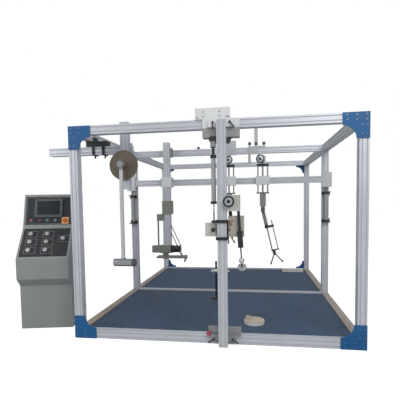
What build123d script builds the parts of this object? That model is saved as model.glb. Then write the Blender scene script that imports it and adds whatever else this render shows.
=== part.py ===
from build123d import *
import os
from math import cos, radians, sin

# Furniture testing machine: a cage of slotted aluminium profile over a floor for the furniture,
# with loading stations that slide along its beams, an impact pendulum and a free-standing console.
# Millimetres. X runs across the front, Y from front to back, Z up. The origin lies on the floor
# under the middle of the cage's middle frame.

# Slotted profile
profile = 80
slot_mouth = 10
slot_lip = 5
slot_depth = 11
slot_chamber = 16

# Cage
frame_width = 2650
frame_height = 2000
front_bay = 1590
rear_bay = 1640
corner_plate_size = 215
corner_plate_leg = 105
corner_plate_thickness = 8

# Fits
slide_gap = 0.3
running_gap = 0.1
tongue_depth = 4
tongue_width = slot_mouth - 2 * slide_gap

# Floor panels
panel_thickness = 18

# Height-adjustable crossbeam
crossbeam_height = 1556
crossbeam_gap = 5
bracket_plate = 10
bracket_width = 116
shoe_width = 76
lower_shoe_height = 61
upper_shoe_height = 44

# Lift cylinders of the crossbeam
lift_barrel_diameter = 50
lift_cap_size = 60
lift_cap_height = 25
lift_bottom = 1015
lift_length = 375
lift_rod_diameter = 16
lift_axis_offset = 45
lift_bracket_width = 104
lift_bracket_plate = 10
lift_bracket_flange = 45

# Impact column
impact_column_x = -768
impact_column_bottom = 720
impact_column_length = 1360
guide_wall = 12
guide_side = 26
guide_height = 135
sleeve_bottom = 1137
sleeve_height = 175
carriage_block_width = 110
carriage_block_height = 116
head_clamp_left = 105
head_clamp_wall = 6
push_cylinder_size = 94
push_left_length = 111
push_right_length = 130
push_bar_length = 434
push_bar_height = 40
push_bar_depth = 34
push_bar_right = 257
hanger_width = 66
hanger_height = 34
hanger_cheek = 8
supply_bracket_depth = 32
supply_bracket_height = 90
brace_foot = 9
motor_flange = 30
motor_ribs = 5
push_corner = 8
hook_plate = 12
supply_tube_diameter = 22
supply_tube_offset = 136
brace_diameter = 12
brace_heights = (975, 874)
brace_reaches = (165, 117)

# Two loading stations
station_axes = (53, 487)
station_rod_offset = 35
side_rod_spacing = 61
side_rod_diameter = 16
spindle_diameter = 20
guide_block_width = 178
guide_block_height = 114
yoke_height = 30
yoke_bottom = 1738
flange_bottom = 1388
flange_thickness = 16
flange_width = 160
load_cell_size = 76
load_cell_height = 162
spindle_top = 1880
gearbox_bottom = 1795
gearbox_height = 70
gearbox_left = 66
gearbox_right = 36
handwheel_diameter = 106
handwheel_rim = 12
handwheel_hub = 30
handwheel_reach = 22
handwheel_web = 6
handwheel_rim_depth = 16
handwheel_bevel = 3
station_wheel_offsets = (0, -33)
mounting_plate = 12
neck_width = 40

# Inclined actuator of the second station
pivot_drop = 58
pivot_pin_diameter = 16
clevis_width = 52
clevis_slot = 30
clevis_ear = 12
pivot_pin_end = 8
actuator_eye = 48
actuator_neck = 50
actuator_neck_width = 40
actuator_tilt = 13
actuator_barrel_diameter = 44
actuator_barrel_length = 205
actuator_clamp_length = 28
side_guide_offset = 76
side_guide_diameter = 12
actuator_rod_diameter = 16
fork_spread = 74
fork_reach = 694

# Pendulum
arm_length = 900
arm_left_end = -1745
arm_height = 1826
arm_setback = 360
hanger_strap_width = 27
hanger_strap_thickness = 8
hanger_overhang = 145
strap_bolt_diameter = 10
strap_bolt_length = 27
clamp_plate = 10
pendulum_column_x = -888
pendulum_column_bottom = 1424
pendulum_column_length = 660
dial_diameter = 292
dial_thickness = 6
dial_standoff = 15
dial_boss_diameter = 70
pivot_height = 1656
pivot_shaft_diameter = 30
pendulum_tube_diameter = 38
pendulum_reach = 953
pendulum_offset = 95
pendulum_hub_diameter = 62
dial_hub_gap = 4
hammer_boss = 8
hammer_shift = 15
hammer_diameter = 75
hammer_length = 223

# Front trolley
trolley_x = 108
trolley_column_foot = 5
trolley_column_top = 1978
trolley_plate = 15
upper_flange = 95
trolley_cylinder_offset = 72
trolley_barrel_diameter = 40
trolley_barrel_bottom = 1262
trolley_barrel_length = 418
trolley_rod_diameter = 12
carriage_bottom = 976
carriage_height = 122
strap_height = 26
strap_thickness = 12

# Load unit of the trolley
load_tilt = 3.2
load_top_offset = 142
load_top_height = 1199
load_guide_diameter = 25
load_guide_length = 171
load_collar_diameter = 50
load_collar_height = 17
load_cylinder_diameter = 46
load_cylinder_length = 125
load_rod_diameter = 12
load_rod_visible = 86
load_stroke_out = 120
load_stroke_in = 60
load_rod_guided = 30
load_bore_end = 5
load_ball_diameter = 50
load_ball_sides = 10
load_joint_drop = 38
load_tongue_width = 14
load_tongue_eye = 22
load_pin_diameter = 10
load_ear_thickness = 7
load_pad_tilt = 38
load_pad_drop = 22
load_pad_diameter = 78
load_pad_thickness = 14

# Console
console_width = 520
console_base_depth = 450
console_x = -1754
console_setback = 220
console_yaw = 12
console_waist = 450
console_apron_bottom = 528
console_apron_top = 738
console_apron_reach = 75
console_knee = 1040
console_knee_back = 130
console_height = 1390
console_top_back = 222
console_panel_margin = 22
console_panel_thickness = 3
console_corner = 18
control_depth = 25
screen_recess = 4
screen_width = 288
screen_height = 199
screen_border = 24
screen_frame_thickness = 14
screen_left = 116
screen_bottom = 110
button_diameter = 24
button_first = 81
button_spacing = 84
button_row = 76
button_height = 10
button_travel = 5
knob_diameter = 42
knob_height = 18
knob_stem_diameter = 8
knob_places = ((101, 281), (268, 280), (105, 188), (273, 187), (438, 224), (108, 92), (277, 92))
stop_plate_size = 72
stop_plate_place = (436, 72)
stop_button_diameter = 40
stop_stem_diameter = 22
stop_travel = 4

# Loose accessories on the floor panels
spare_pad_x = 375
spare_pad_setback = 415
spare_pad_diameter = 200
spare_pad_height = 34
stand_x = -105
stand_forward = 375
stand_base_diameter = 130
stand_base_height = 14
stand_rod_diameter = 26
stand_height = 475
crossbar_height = 355
crossbar_length = 229
crossbar_shift = 55
spare_bar_x = 1022
spare_bar_forward = 242
spare_bar_length = 350
spare_bar_size = 60

# Places that follow from the sizes above
half_width = frame_width / 2
half = profile / 2
middle_y = 0
front_y = middle_y - profile - front_bay
back_y = middle_y + profile + rear_bay
front_face = front_y - half
back_face = back_y + half
middle_face = middle_y - half
post_x = half_width - half
beam_length = frame_width - 2 * profile
top_z = frame_height - half
bottom_z = half
beam_underside = frame_height - profile
panel_tongue = slot_mouth - 2 * slide_gap
panel_top = profile * 3 / 4 + panel_tongue / 2
crossbeam_y = middle_face - crossbeam_gap - half
crossbeam_front = crossbeam_y - half
crossbeam_bottom = crossbeam_height - half
crossbeam_top = crossbeam_height + half
along_x = Vector(1, 0, 0)
along_y = Vector(0, 1, 0)
along_z = Vector(0, 0, 1)


def keep(piece, name):
    """Names a finished piece and writes its file."""
    piece.part.label = name
    export_step(piece.part, f"parts/{name}.step")


def block(x_limits, y_limits, z_limits, mode=Mode.ADD):
    """A rectangular block of the piece in hand, between its limits."""
    x_size = x_limits[1] - x_limits[0]
    y_size = y_limits[1] - y_limits[0]
    centre = (sum(x_limits) / 2, sum(y_limits) / 2, z_limits[0])
    with BuildSketch(Plane(origin=centre)) as base:
        Rectangle(x_size, y_size)
    extrude(base.sketch, amount=z_limits[1] - z_limits[0], mode=mode)


def round_bar(start, direction, length, diameter, mode=Mode.ADD):
    """A round bar, or a round hole, of the piece in hand."""
    with BuildSketch(Plane(origin=start, z_dir=direction)) as end:
        Circle(diameter / 2)
    extrude(end.sketch, amount=length, mode=mode)


def slotted_bar(start, direction, length):
    """A length of the slotted profile, from the centre of its first end."""
    side = along_y if direction == along_x else along_x
    with BuildSketch(Plane(origin=start, x_dir=side, z_dir=direction)) as end:
        add(slotted_section.sketch)
    extrude(end.sketch, amount=length)


def slot_offsets():
    """Where the two slots of a face lie, from its centre line."""
    return (-profile / 4, profile / 4)


os.makedirs("parts", exist_ok=True)

# The slotted profile's section: two undercut slots in each of its four faces
with BuildSketch() as slotted_section:
    Rectangle(profile, profile)
    with PolarLocations(half, 4):
        with Locations(*[(-slot_lip / 2, offset) for offset in slot_offsets()]):
            Rectangle(slot_lip, slot_mouth, mode=Mode.SUBTRACT)
        with Locations(*[(-(slot_lip + slot_depth) / 2, offset) for offset in slot_offsets()]):
            Rectangle(slot_depth - slot_lip, slot_chamber, mode=Mode.SUBTRACT)

# Cage: six posts, six cross beams and eight side rails
with BuildPart() as posts:
    for y in (front_y, middle_y, back_y):
        for x in (-post_x, post_x):
            slotted_bar((x, y, 0), along_z, frame_height)
keep(posts, "posts")

with BuildPart() as cross_beams:
    for y in (front_y, middle_y, back_y):
        for z in (bottom_z, top_z):
            slotted_bar((-beam_length / 2, y, z), along_x, beam_length)
keep(cross_beams, "cross_beams")

with BuildPart() as side_rails:
    for x in (-post_x, post_x):
        for z in (bottom_z, top_z):
            slotted_bar((x, front_y + half, z), along_y, front_bay)
            slotted_bar((x, middle_y + half, z), along_y, rear_bay)
keep(side_rails, "side_rails")

# Corner plates: an L with a hollow-curved inner edge, on the front and the back frame
with BuildSketch() as corner_shape:
    Rectangle(corner_plate_size, corner_plate_size, align=(Align.MIN, Align.MIN))
    with Locations((corner_plate_size, corner_plate_size)):
        Circle(corner_plate_size - corner_plate_leg, mode=Mode.SUBTRACT)

with BuildPart() as corner_plates:
    for face, outward in ((front_face, -1), (back_face, 1)):
        for side in (-1, 1):
            for z, rise in ((0, 1), (frame_height, -1)):
                inward = Vector(-side, 0, 0)
                upward = Vector(0, 0, rise)
                plane = Plane(origin=(side * half_width, face, z), x_dir=inward, z_dir=inward.cross(upward))
                with BuildSketch(plane) as plate:
                    add(corner_shape.sketch)
                towards = outward if plane.z_dir.Y > 0 else -outward
                extrude(plate.sketch, amount=towards * corner_plate_thickness)
keep(corner_plates, "corner_plates")

# Floor panels, whose thinned edges lie in the upper slots of the bottom beams and rails
with BuildPart() as floor_panels:
    for start, bay in ((front_y + half, front_bay), (middle_y + half, rear_bay)):
        low = panel_top - panel_thickness
        edge_low = panel_top - panel_tongue
        clear = beam_length / 2 - slide_gap
        block((-clear, clear), (start + slide_gap, start + bay - slide_gap), (low, panel_top))
        block((-clear - tongue_depth, clear + tongue_depth), (start + slide_gap, start + bay - slide_gap),
              (edge_low, panel_top))
        block((-clear, clear), (start + slide_gap - tongue_depth, start + bay - slide_gap + tongue_depth),
              (edge_low, panel_top))
keep(floor_panels, "floor_panels")

# Lift cylinders on the middle posts, each between two foot brackets
lift_y = middle_face - lift_axis_offset
lift_top = lift_bottom + lift_length
with BuildPart() as lift_cylinders:
    for x in (-post_x, post_x):
        round_bar((x, lift_y, lift_bottom), along_z, lift_length, lift_barrel_diameter)
        for z in (lift_bottom, lift_top - lift_cap_height):
            with BuildSketch(Plane(origin=(x, lift_y, z))) as cap:
                RectangleRounded(lift_cap_size, lift_cap_size, 6)
            extrude(cap.sketch, amount=lift_cap_height)
        for z, inward in ((lift_bottom, 1), (lift_top, -1)):
            outer = z - inward * lift_bracket_plate
            block((x - lift_bracket_width / 2, x + lift_bracket_width / 2),
                  (lift_y - lift_cap_size / 2, middle_face), (min(z, outer), max(z, outer)))
            flange_end = z + inward * lift_bracket_flange
            block((x - lift_bracket_width / 2, x + lift_bracket_width / 2),
                  (middle_face - lift_bracket_plate, middle_face), (min(z, flange_end), max(z, flange_end)))
        bore = lift_rod_diameter + 2 * running_gap
        round_bar((x, lift_y, lift_top + lift_bracket_plate), -along_z, 200, bore, mode=Mode.SUBTRACT)
keep(lift_cylinders, "lift_cylinders")

# Crossbeam, its end brackets with shoes in the post slots, and the lift rods
with BuildPart() as crossbeam:
    slotted_bar((-half_width, crossbeam_y, crossbeam_height), along_x, frame_width)
keep(crossbeam, "crossbeam")

bracket_bottom = crossbeam_bottom - lower_shoe_height
bracket_top = crossbeam_top + upper_shoe_height
shoe_back = middle_face - slide_gap
with BuildPart() as crossbeam_brackets:
    for x in (-post_x, post_x):
        for bottom, height in ((bracket_bottom, lower_shoe_height), (crossbeam_top, upper_shoe_height)):
            with BuildSketch(Plane.XY.offset(bottom)) as shoe:
                with Locations((x, (crossbeam_front + shoe_back) / 2)):
                    Rectangle(shoe_width, shoe_back - crossbeam_front)
                with Locations(*[(x + offset, shoe_back + tongue_depth / 2) for offset in slot_offsets()]):
                    Rectangle(tongue_width, tongue_depth)
            extrude(amount=height)
        block((x - bracket_width / 2, x + bracket_width / 2),
              (crossbeam_front - bracket_plate, crossbeam_front), (bracket_bottom, bracket_top))
keep(crossbeam_brackets, "crossbeam_brackets")

rod_nut_height = 12
rod_engaged = 80
with BuildPart() as lift_rods:
    for x in (-post_x, post_x):
        round_bar((x, lift_y, lift_top - rod_engaged), along_z, bracket_bottom - lift_top + rod_engaged,
                  lift_rod_diameter)
        with BuildSketch(Plane(origin=(x, lift_y, bracket_bottom - rod_nut_height))) as nut:
            RegularPolygon(lift_rod_diameter * 0.8, 6)
        extrude(nut.sketch, amount=rod_nut_height)
keep(lift_rods, "lift_rods")

# Impact column: a carriage on the middle top beam holds it, and a box guide on the crossbeam
column_back = crossbeam_front - guide_wall
column_y = column_back - half
column_front = column_y - half
guide_hole = profile + 2 * slide_gap
guide_bottom = crossbeam_height - guide_height / 2

with BuildPart() as impact_guide:
    back = crossbeam_front - slide_gap
    front = column_front - slide_gap - guide_wall
    with BuildSketch(Plane.XY.offset(guide_bottom)) as ring:
        with Locations((impact_column_x, (back + front) / 2)):
            RectangleRounded(profile + 2 * guide_side, back - front, 5)
        with Locations((impact_column_x, column_y)):
            Rectangle(guide_hole, guide_hole, mode=Mode.SUBTRACT)
    extrude(amount=guide_height)
    for offset in slot_offsets():
        block((impact_column_x - half, impact_column_x + half), (back, back + tongue_depth),
              (crossbeam_height + offset - tongue_width / 2, crossbeam_height + offset + tongue_width / 2))
    for z in (guide_bottom + guide_side, guide_bottom + guide_height - guide_side):
        for side in (-1, 1):
            knob_start = (impact_column_x + side * (half + guide_side), column_y, z)
            round_bar(knob_start, along_x * side, 8, 12)
            round_bar(Vector(*knob_start) + along_x * side * 8, along_x * side, 16, 30)
keep(impact_guide, "impact_guide")

with BuildPart() as impact_carriage:
    back = middle_face - slide_gap
    front = column_back + slide_gap
    left = impact_column_x - carriage_block_width / 2
    right = impact_column_x + carriage_block_width / 2
    bottom = top_z - carriage_block_height / 2
    with BuildSketch(Plane.XY.offset(bottom)) as section:
        with Locations((impact_column_x, (back + front) / 2)):
            Rectangle(carriage_block_width, back - front)
            Rectangle(carriage_block_width - 2 * mounting_plate, back - front - 2 * mounting_plate, mode=Mode.SUBTRACT)
        with Locations(*[(impact_column_x + offset, front - tongue_depth / 2) for offset in slot_offsets()]):
            Rectangle(tongue_width, tongue_depth)
    extrude(amount=carriage_block_height)
    for offset in slot_offsets():
        block((left, right), (back, back + tongue_depth),
              (top_z + offset - tongue_width / 2, top_z + offset + tongue_width / 2))
keep(impact_carriage, "impact_carriage")

with BuildPart() as impact_column:
    slotted_bar((impact_column_x, column_y, impact_column_bottom), along_z, impact_column_length)
keep(impact_column, "impact_column")

# Head of the impact column: sleeve, hanging clamp with the push bar's hanger, supply tube and braces
push_axis = impact_column_bottom - head_clamp_wall - push_cylinder_size / 2
push_top = push_axis + push_cylinder_size / 2
clamp_left = impact_column_x - head_clamp_left
clamp_right = impact_column_x + half
hanger_top = push_axis - push_cylinder_size / 2 - head_clamp_wall
bar_top = hanger_top - hanger_height
bar_bottom = bar_top - push_bar_height
with BuildPart() as impact_head:
    with BuildSketch(Plane.XY.offset(sleeve_bottom)) as ring:
        with Locations((impact_column_x, column_y)):
            RectangleRounded(profile + 2 * guide_side, profile + 2 * guide_wall, 5)
            Rectangle(profile, profile, mode=Mode.SUBTRACT)
    extrude(amount=sleeve_height)
    with BuildSketch(Plane(origin=(clamp_left, column_y, push_axis), x_dir=along_y, z_dir=along_x)) as clamp:
        Rectangle(push_cylinder_size + 2 * head_clamp_wall, push_cylinder_size + 2 * head_clamp_wall)
        Rectangle(push_cylinder_size, push_cylinder_size, mode=Mode.SUBTRACT)
    extrude(amount=clamp_right - clamp_left)
    hanger_x = impact_column_x - half
    channel = push_bar_depth / 2 + slide_gap
    block((hanger_x - hanger_width / 2, hanger_x + hanger_width / 2),
          (column_y - channel - hanger_cheek, column_y + channel + hanger_cheek), (bar_bottom, hanger_top))
    block((hanger_x - hanger_width / 2, hanger_x + hanger_width / 2),
          (column_y - channel, column_y + channel), (bar_bottom, bar_top + slide_gap), mode=Mode.SUBTRACT)
    for side in (-1, 1):
        lip = column_y + side * channel
        block((hanger_x - hanger_width / 2, hanger_x + hanger_width / 2),
              (min(lip, lip - side * hanger_cheek), max(lip, lip - side * hanger_cheek)),
              (bar_bottom - slide_gap - hanger_cheek, bar_bottom - slide_gap))
        outer = lip + side * hanger_cheek
        block((hanger_x - hanger_width / 2, hanger_x + hanger_width / 2), (min(lip, outer), max(lip, outer)),
              (bar_bottom - slide_gap - hanger_cheek, bar_bottom))
    tube_x = impact_column_x - supply_tube_offset
    block((tube_x - supply_tube_diameter * 0.6, impact_column_x - half),
          (column_y - supply_bracket_depth / 2, column_y + supply_bracket_depth / 2),
          (sleeve_bottom - supply_bracket_height, sleeve_bottom))
    round_bar((tube_x, column_y, push_top), along_z, sleeve_bottom - supply_bracket_height - push_top,
              supply_tube_diameter)
    for z, reach in zip(brace_heights, brace_reaches):
        start = Vector(clamp_right + brace_foot * 0.7, column_y, z)
        end = Vector(impact_column_x + reach, column_y, push_top + brace_foot / 2)
        block((clamp_right, clamp_right + brace_foot), (column_y - brace_diameter, column_y + brace_diameter),
              (z - brace_diameter, z + brace_diameter))
        block((end.X - brace_diameter, end.X + brace_diameter), (column_y - brace_diameter, column_y + brace_diameter),
              (push_top, push_top + brace_foot))
        round_bar(start, end - start, (end - start).length, brace_diameter)
keep(impact_head, "impact_head")

# Push cylinder through the clamp, with a ribbed motor end on its right
with BuildPart() as push_cylinder:
    body_left = clamp_left - push_left_length
    body_right = clamp_right + motor_flange
    motor_right = clamp_right + push_right_length
    with BuildSketch(Plane(origin=(body_left, column_y, push_axis), x_dir=along_y, z_dir=along_x)) as body:
        RectangleRounded(push_cylinder_size, push_cylinder_size, push_corner)
    extrude(amount=body_right - body_left)
    with BuildSketch(Plane(origin=(0, column_y, push_axis), x_dir=along_x, z_dir=along_z)) as motor:
        with BuildLine():
            radius = push_cylinder_size / 2 - 1
            outline = [(body_right, 0), (body_right, radius)]
            pitch = (motor_right - body_right) / motor_ribs
            for rib in range(motor_ribs):
                start = body_right + rib * pitch
                outline += [(start + pitch * 0.6, radius), (start + pitch * 0.6, radius * 0.88)]
                outline += [(start + pitch, radius * 0.88), (start + pitch, radius)]
            outline[-1] = (motor_right, 0)
            Polyline(*outline, close=True)
        make_face()
    revolve(axis=Axis((body_right, column_y, push_axis), along_x))
keep(push_cylinder, "push_cylinder")

# Push bar that slides in the hanger, with a pointed left end and a hook on a plate in front
with BuildPart() as push_bar:
    bar_right = impact_column_x + push_bar_right
    bar_left = bar_right - push_bar_length
    with BuildSketch(Plane(origin=(0, column_y + push_bar_depth / 2, 0), x_dir=along_x, z_dir=-along_y)) as outline:
        with BuildLine():
            Polyline((bar_left, bar_bottom + push_bar_height * 0.3), (bar_left + push_bar_height, bar_top),
                     (bar_right, bar_top), (bar_right, bar_bottom), (bar_left + push_bar_height / 2, bar_bottom),
                     close=True)
        make_face()
    extrude(amount=push_bar_depth)
    hook_back = column_y - push_cylinder_size / 2 - head_clamp_wall
    block((bar_right - hook_plate * 2, bar_right), (hook_back, column_y - push_bar_depth / 2), (bar_bottom, bar_top))
    with BuildSketch(Plane(origin=(bar_right, hook_back, bar_bottom), x_dir=along_x, z_dir=-along_y)) as hook:
        with BuildLine():
            Polyline((-100, 105), (-80, 105), (-48, 52), (6, 58), (6, 10), (-22, -43), (-38, -43), (-30, 6),
                     (-62, 12), close=True)
        make_face()
    extrude(amount=hook_plate)
keep(push_bar, "push_bar")

# Loading stations
rod_y = crossbeam_front - station_rod_offset
rod_offsets = (-side_rod_spacing, 0, side_rod_spacing)
wheel_height = gearbox_bottom + gearbox_height * 0.43
gearbox_front = rod_y - 30
gearbox_back = rod_y + 35


def rod_size(offset):
    """The spindle is thicker than the two guide rods beside it."""
    return spindle_diameter if offset == 0 else side_rod_diameter


def handwheel(centre, diameter):
    """A handwheel of the piece in hand, facing the front: rim, dished web with windows, and hub."""
    outer = diameter / 2
    inner = outer - handwheel_rim
    hub = handwheel_hub / 2
    with BuildSketch(Plane(origin=centre, x_dir=along_x, z_dir=along_z)) as section:
        with BuildLine():
            web = handwheel_web / 2
            rim = handwheel_rim_depth / 2
            Polyline((0, -rim), (hub, -rim), (hub, -web), (inner, -web), (inner, -rim), (outer - handwheel_bevel, -rim),
                     (outer, handwheel_bevel - rim), (outer, rim - handwheel_bevel), (outer - handwheel_bevel, rim),
                     (inner, rim), (inner, web), (hub, web), (hub, handwheel_reach), (0, handwheel_reach), close=True)
        make_face()
    revolve(section.sketch, axis=Axis(centre, along_y))
    for step in range(3):
        angle = radians(120 * step + 90)
        reach = (hub + inner) / 2
        window = centre + along_x * cos(angle) * reach + along_z * sin(angle) * reach - along_y * handwheel_rim
        round_bar(window, along_y, 2 * handwheel_rim, (inner - hub) * 0.75, mode=Mode.SUBTRACT)


for number, axis in enumerate(station_axes, start=1):
    prefix = f"station_{number}"

    # Carriage on the middle top beam, with the gear housing hanging from it
    with BuildPart() as carriage:
        back = middle_face - slide_gap
        front = back - mounting_plate
        housing = (axis - gearbox_left, axis + gearbox_right)
        if number == 1:
            plate_left = axis - guide_block_width / 2
            plate_right = axis + guide_block_width / 2
            plate_top = frame_height + 94
            plate_bottom = beam_underside - 18
            neck = (axis - neck_width / 2, axis + neck_width / 2)
        else:
            plate_left = axis - 186
            plate_right = axis - 62
            plate_top = frame_height + slide_gap + mounting_plate
            plate_bottom = beam_underside - 14
            neck = (axis - gearbox_left, axis - gearbox_left + neck_width)
        block((plate_left, plate_right), (front, back), (plate_bottom, plate_top))
        block((min(plate_left, neck[0]), max(plate_right, neck[1])), (front, back), (plate_bottom, beam_underside))
        for offset in slot_offsets():
            block((plate_left, plate_right), (back, back + tongue_depth),
                  (top_z + offset - tongue_width / 2, top_z + offset + tongue_width / 2))
        block(neck, (front, back), (gearbox_bottom, plate_bottom))
        block(neck, (gearbox_back, back), (gearbox_bottom, gearbox_bottom + 50))
        block(housing, (gearbox_front, gearbox_back), (gearbox_bottom, gearbox_bottom + gearbox_height))
        round_bar((axis, rod_y, gearbox_bottom - 1), along_z, gearbox_height + 2,
                  spindle_diameter + 2 * running_gap, mode=Mode.SUBTRACT)
        if number == 2:
            shelf_bottom = frame_height + slide_gap
            block((plate_left, axis + 39), (front, middle_y + half), (shelf_bottom, shelf_bottom + mounting_plate))
            for x in (plate_left + 20, axis + 19):
                round_bar((x, middle_y - 20, shelf_bottom + mounting_plate), along_z, 20, 14)
                round_bar((x, middle_y - 20, shelf_bottom + mounting_plate + 20), along_z, 34, 40)
            round_bar((axis - 82, middle_y, shelf_bottom + mounting_plate), along_z, 288, 42)
            block((plate_left, plate_left + 34), (front, back), (beam_underside - 134, plate_bottom))
    keep(carriage, f"{prefix}_carriage")

    wheel_centre = Vector(axis + station_wheel_offsets[number - 1], gearbox_front - handwheel_reach, wheel_height)
    with BuildPart() as wheel:
        handwheel(wheel_centre, handwheel_diameter)
    keep(wheel, f"{prefix}_handwheel")

    # Head: yoke, three rods and the flange with the load cell under it
    with BuildPart() as head:
        block((axis - side_rod_spacing - 14, axis + side_rod_spacing + 14), (rod_y - 17, rod_y + 17),
              (yoke_bottom, yoke_bottom + yoke_height))
        for offset in rod_offsets:
            top = spindle_top if offset == 0 else yoke_bottom
            round_bar((axis + offset, rod_y, flange_bottom), along_z, top - flange_bottom, rod_size(offset))
        block((axis - flange_width / 2, axis + flange_width / 2), (rod_y - 32, rod_y + 32),
              (flange_bottom, flange_bottom + flange_thickness))
        with BuildSketch(Plane(origin=(axis, rod_y, flange_bottom - load_cell_height))) as cell:
            RectangleRounded(load_cell_size, load_cell_size * 0.8, 12)
        extrude(amount=load_cell_height)
        if number == 2:
            cell_bottom = flange_bottom - load_cell_height
            for side in (-1, 1):
                ear_centre = Vector(axis, rod_y + side * (clevis_slot + clevis_ear) / 2, cell_bottom - pivot_drop)
                with BuildSketch(Plane(origin=ear_centre, x_dir=along_x, z_dir=along_y)) as ear:
                    Circle(clevis_width / 2)
                    with Locations((0, -pivot_drop / 2)):
                        Rectangle(clevis_width, pivot_drop)
                extrude(ear.sketch, amount=clevis_ear / 2, both=True)
            pin_length = clevis_slot + 2 * (clevis_ear + pivot_pin_end)
            round_bar((axis, rod_y - pin_length / 2, cell_bottom - pivot_drop), along_y, pin_length, pivot_pin_diameter)
    keep(head, f"{prefix}_head")

    # Guide block on the crossbeam
    with BuildPart() as guide:
        back = crossbeam_front - slide_gap
        block((axis - guide_block_width / 2, axis + guide_block_width / 2), (rod_y - 32, back),
              (crossbeam_height - guide_block_height / 2, crossbeam_height + guide_block_height / 2))
        for offset in slot_offsets():
            block((axis - guide_block_width / 2, axis + guide_block_width / 2), (back, back + tongue_depth),
                  (crossbeam_height + offset - tongue_width / 2, crossbeam_height + offset + tongue_width / 2))
        for offset in rod_offsets:
            round_bar((axis + offset, rod_y, crossbeam_height - guide_block_height), along_z,
                      2 * guide_block_height, rod_size(offset) + 2 * running_gap, mode=Mode.SUBTRACT)
    keep(guide, f"{prefix}_guide")

# Inclined actuator of the second station, made along its own tilted axis
pivot = Vector(station_axes[1], rod_y, flange_bottom - load_cell_height - pivot_drop)
actuator_down = Vector(sin(radians(actuator_tilt)), 0, -cos(radians(actuator_tilt)))
actuator_side = Vector(cos(radians(actuator_tilt)), 0, sin(radians(actuator_tilt)))


def along_actuator(down, across=0):
    """A point of the actuator, by its distances along and across its axis."""
    return pivot + actuator_down * down + actuator_side * across


def actuator_block(down_limits, across_limits, depth, mode=Mode.ADD):
    """A block of the actuator, centred in depth on its axis."""
    middle = along_actuator(down_limits[0], sum(across_limits) / 2)
    with BuildSketch(Plane(origin=middle, x_dir=actuator_side, z_dir=actuator_down)) as end:
        Rectangle(across_limits[1] - across_limits[0], depth)
    extrude(end.sketch, amount=down_limits[1] - down_limits[0], mode=mode)


clamp_start = actuator_barrel_length
clamp_end = clamp_start + actuator_clamp_length
rod_bore = actuator_rod_diameter + 2 * running_gap
side_bore = side_guide_diameter + 2 * running_gap
with BuildPart() as station_2_actuator:
    with BuildSketch(Plane(origin=pivot - along_y * (clevis_slot / 2 - slide_gap), z_dir=along_y)) as eye:
        Circle(actuator_eye / 2)
    extrude(amount=clevis_slot - 2 * slide_gap)
    actuator_block((0, actuator_neck), (-actuator_neck_width / 2, actuator_neck_width / 2), clevis_slot - 2 * slide_gap)
    round_bar(along_actuator(actuator_neck), actuator_down, actuator_barrel_length - actuator_neck,
              actuator_barrel_diameter)
    actuator_block((clamp_start, clamp_end), (-28, side_guide_offset + 14), 40)
    round_bar(pivot - along_y * 40, along_y, 80, pivot_pin_diameter + 2 * running_gap, mode=Mode.SUBTRACT)
    round_bar(along_actuator(clamp_end + 1), -actuator_down, 150, rod_bore, mode=Mode.SUBTRACT)
    round_bar(along_actuator(clamp_end + 1, side_guide_offset), -actuator_down, actuator_clamp_length + 2,
              side_bore, mode=Mode.SUBTRACT)
keep(station_2_actuator, "station_2_actuator")

bridge_start = 522
bridge_end = 536
with BuildPart() as station_2_fork:
    round_bar(along_actuator(clamp_start - 40), actuator_down, bridge_start - clamp_start + 40, actuator_rod_diameter)
    round_bar(along_actuator(clamp_start - 60, side_guide_offset), actuator_down,
              bridge_start - clamp_start + 60, side_guide_diameter)
    actuator_block((bridge_start, bridge_end), (-14, side_guide_offset + 14), 34)
    actuator_block((bridge_end, bridge_end + 60), (-2, 38), 24)
    for side in (-1, 1):
        inner = along_actuator(bridge_end + 46, 18 + side * 8)
        outer = along_actuator(fork_reach, 18 + side * fork_spread)
        round_bar(inner, outer - inner, (outer - inner).length, 16)
        round_bar(outer - along_y * 22, along_y, 44, 22)
keep(station_2_fork, "station_2_fork")

# Pendulum unit: hanger on the left rail, arm along X, clamp plate, column, dial and pendulum
arm_front = front_face + arm_setback
arm_back = arm_front + profile
arm_axis = (arm_front + arm_back) / 2
arm_bottom = arm_height - half
arm_top = arm_height + half
rail_inside = -half_width + profile
strap_positions = (rail_inside - 4, rail_inside + 104)
with BuildPart() as pendulum_hanger:
    hanger_front = arm_front - slide_gap - hanger_strap_thickness
    hanger_back = arm_back + slide_gap + hanger_strap_thickness
    block((-half_width, rail_inside + hanger_overhang), (hanger_front, hanger_back),
          (arm_top + slide_gap, beam_underside - slide_gap))
    for offset in slot_offsets():
        slot_x = -post_x + offset
        block((slot_x - tongue_width / 2, slot_x + tongue_width / 2), (hanger_front, hanger_back),
              (beam_underside - slide_gap, beam_underside + tongue_depth))
    cheek_left = rail_inside + slide_gap
    cheek_slot = top_z + slot_offsets()[0]
    block((cheek_left, cheek_left + mounting_plate), (hanger_front, hanger_back),
          (beam_underside - slide_gap, cheek_slot + mounting_plate * 2))
    block((cheek_left - tongue_depth, cheek_left), (hanger_front, hanger_back),
          (cheek_slot - tongue_width / 2, cheek_slot + tongue_width / 2))
    for x in strap_positions:
        left = x - hanger_strap_width / 2
        right = x + hanger_strap_width / 2
        strap_bottom = arm_bottom - slide_gap - hanger_strap_thickness
        block((left, right), (hanger_front, arm_front - slide_gap), (strap_bottom, arm_top + slide_gap))
        block((left, right), (arm_back + slide_gap, hanger_back), (strap_bottom, arm_top + slide_gap))
        block((left, right), (hanger_front, hanger_back), (strap_bottom, arm_bottom - slide_gap))
        for y in (hanger_front + half, hanger_back - half):
            round_bar((x, y, strap_bottom), -along_z, strap_bolt_length, strap_bolt_diameter)
keep(pendulum_hanger, "pendulum_hanger")

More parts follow.
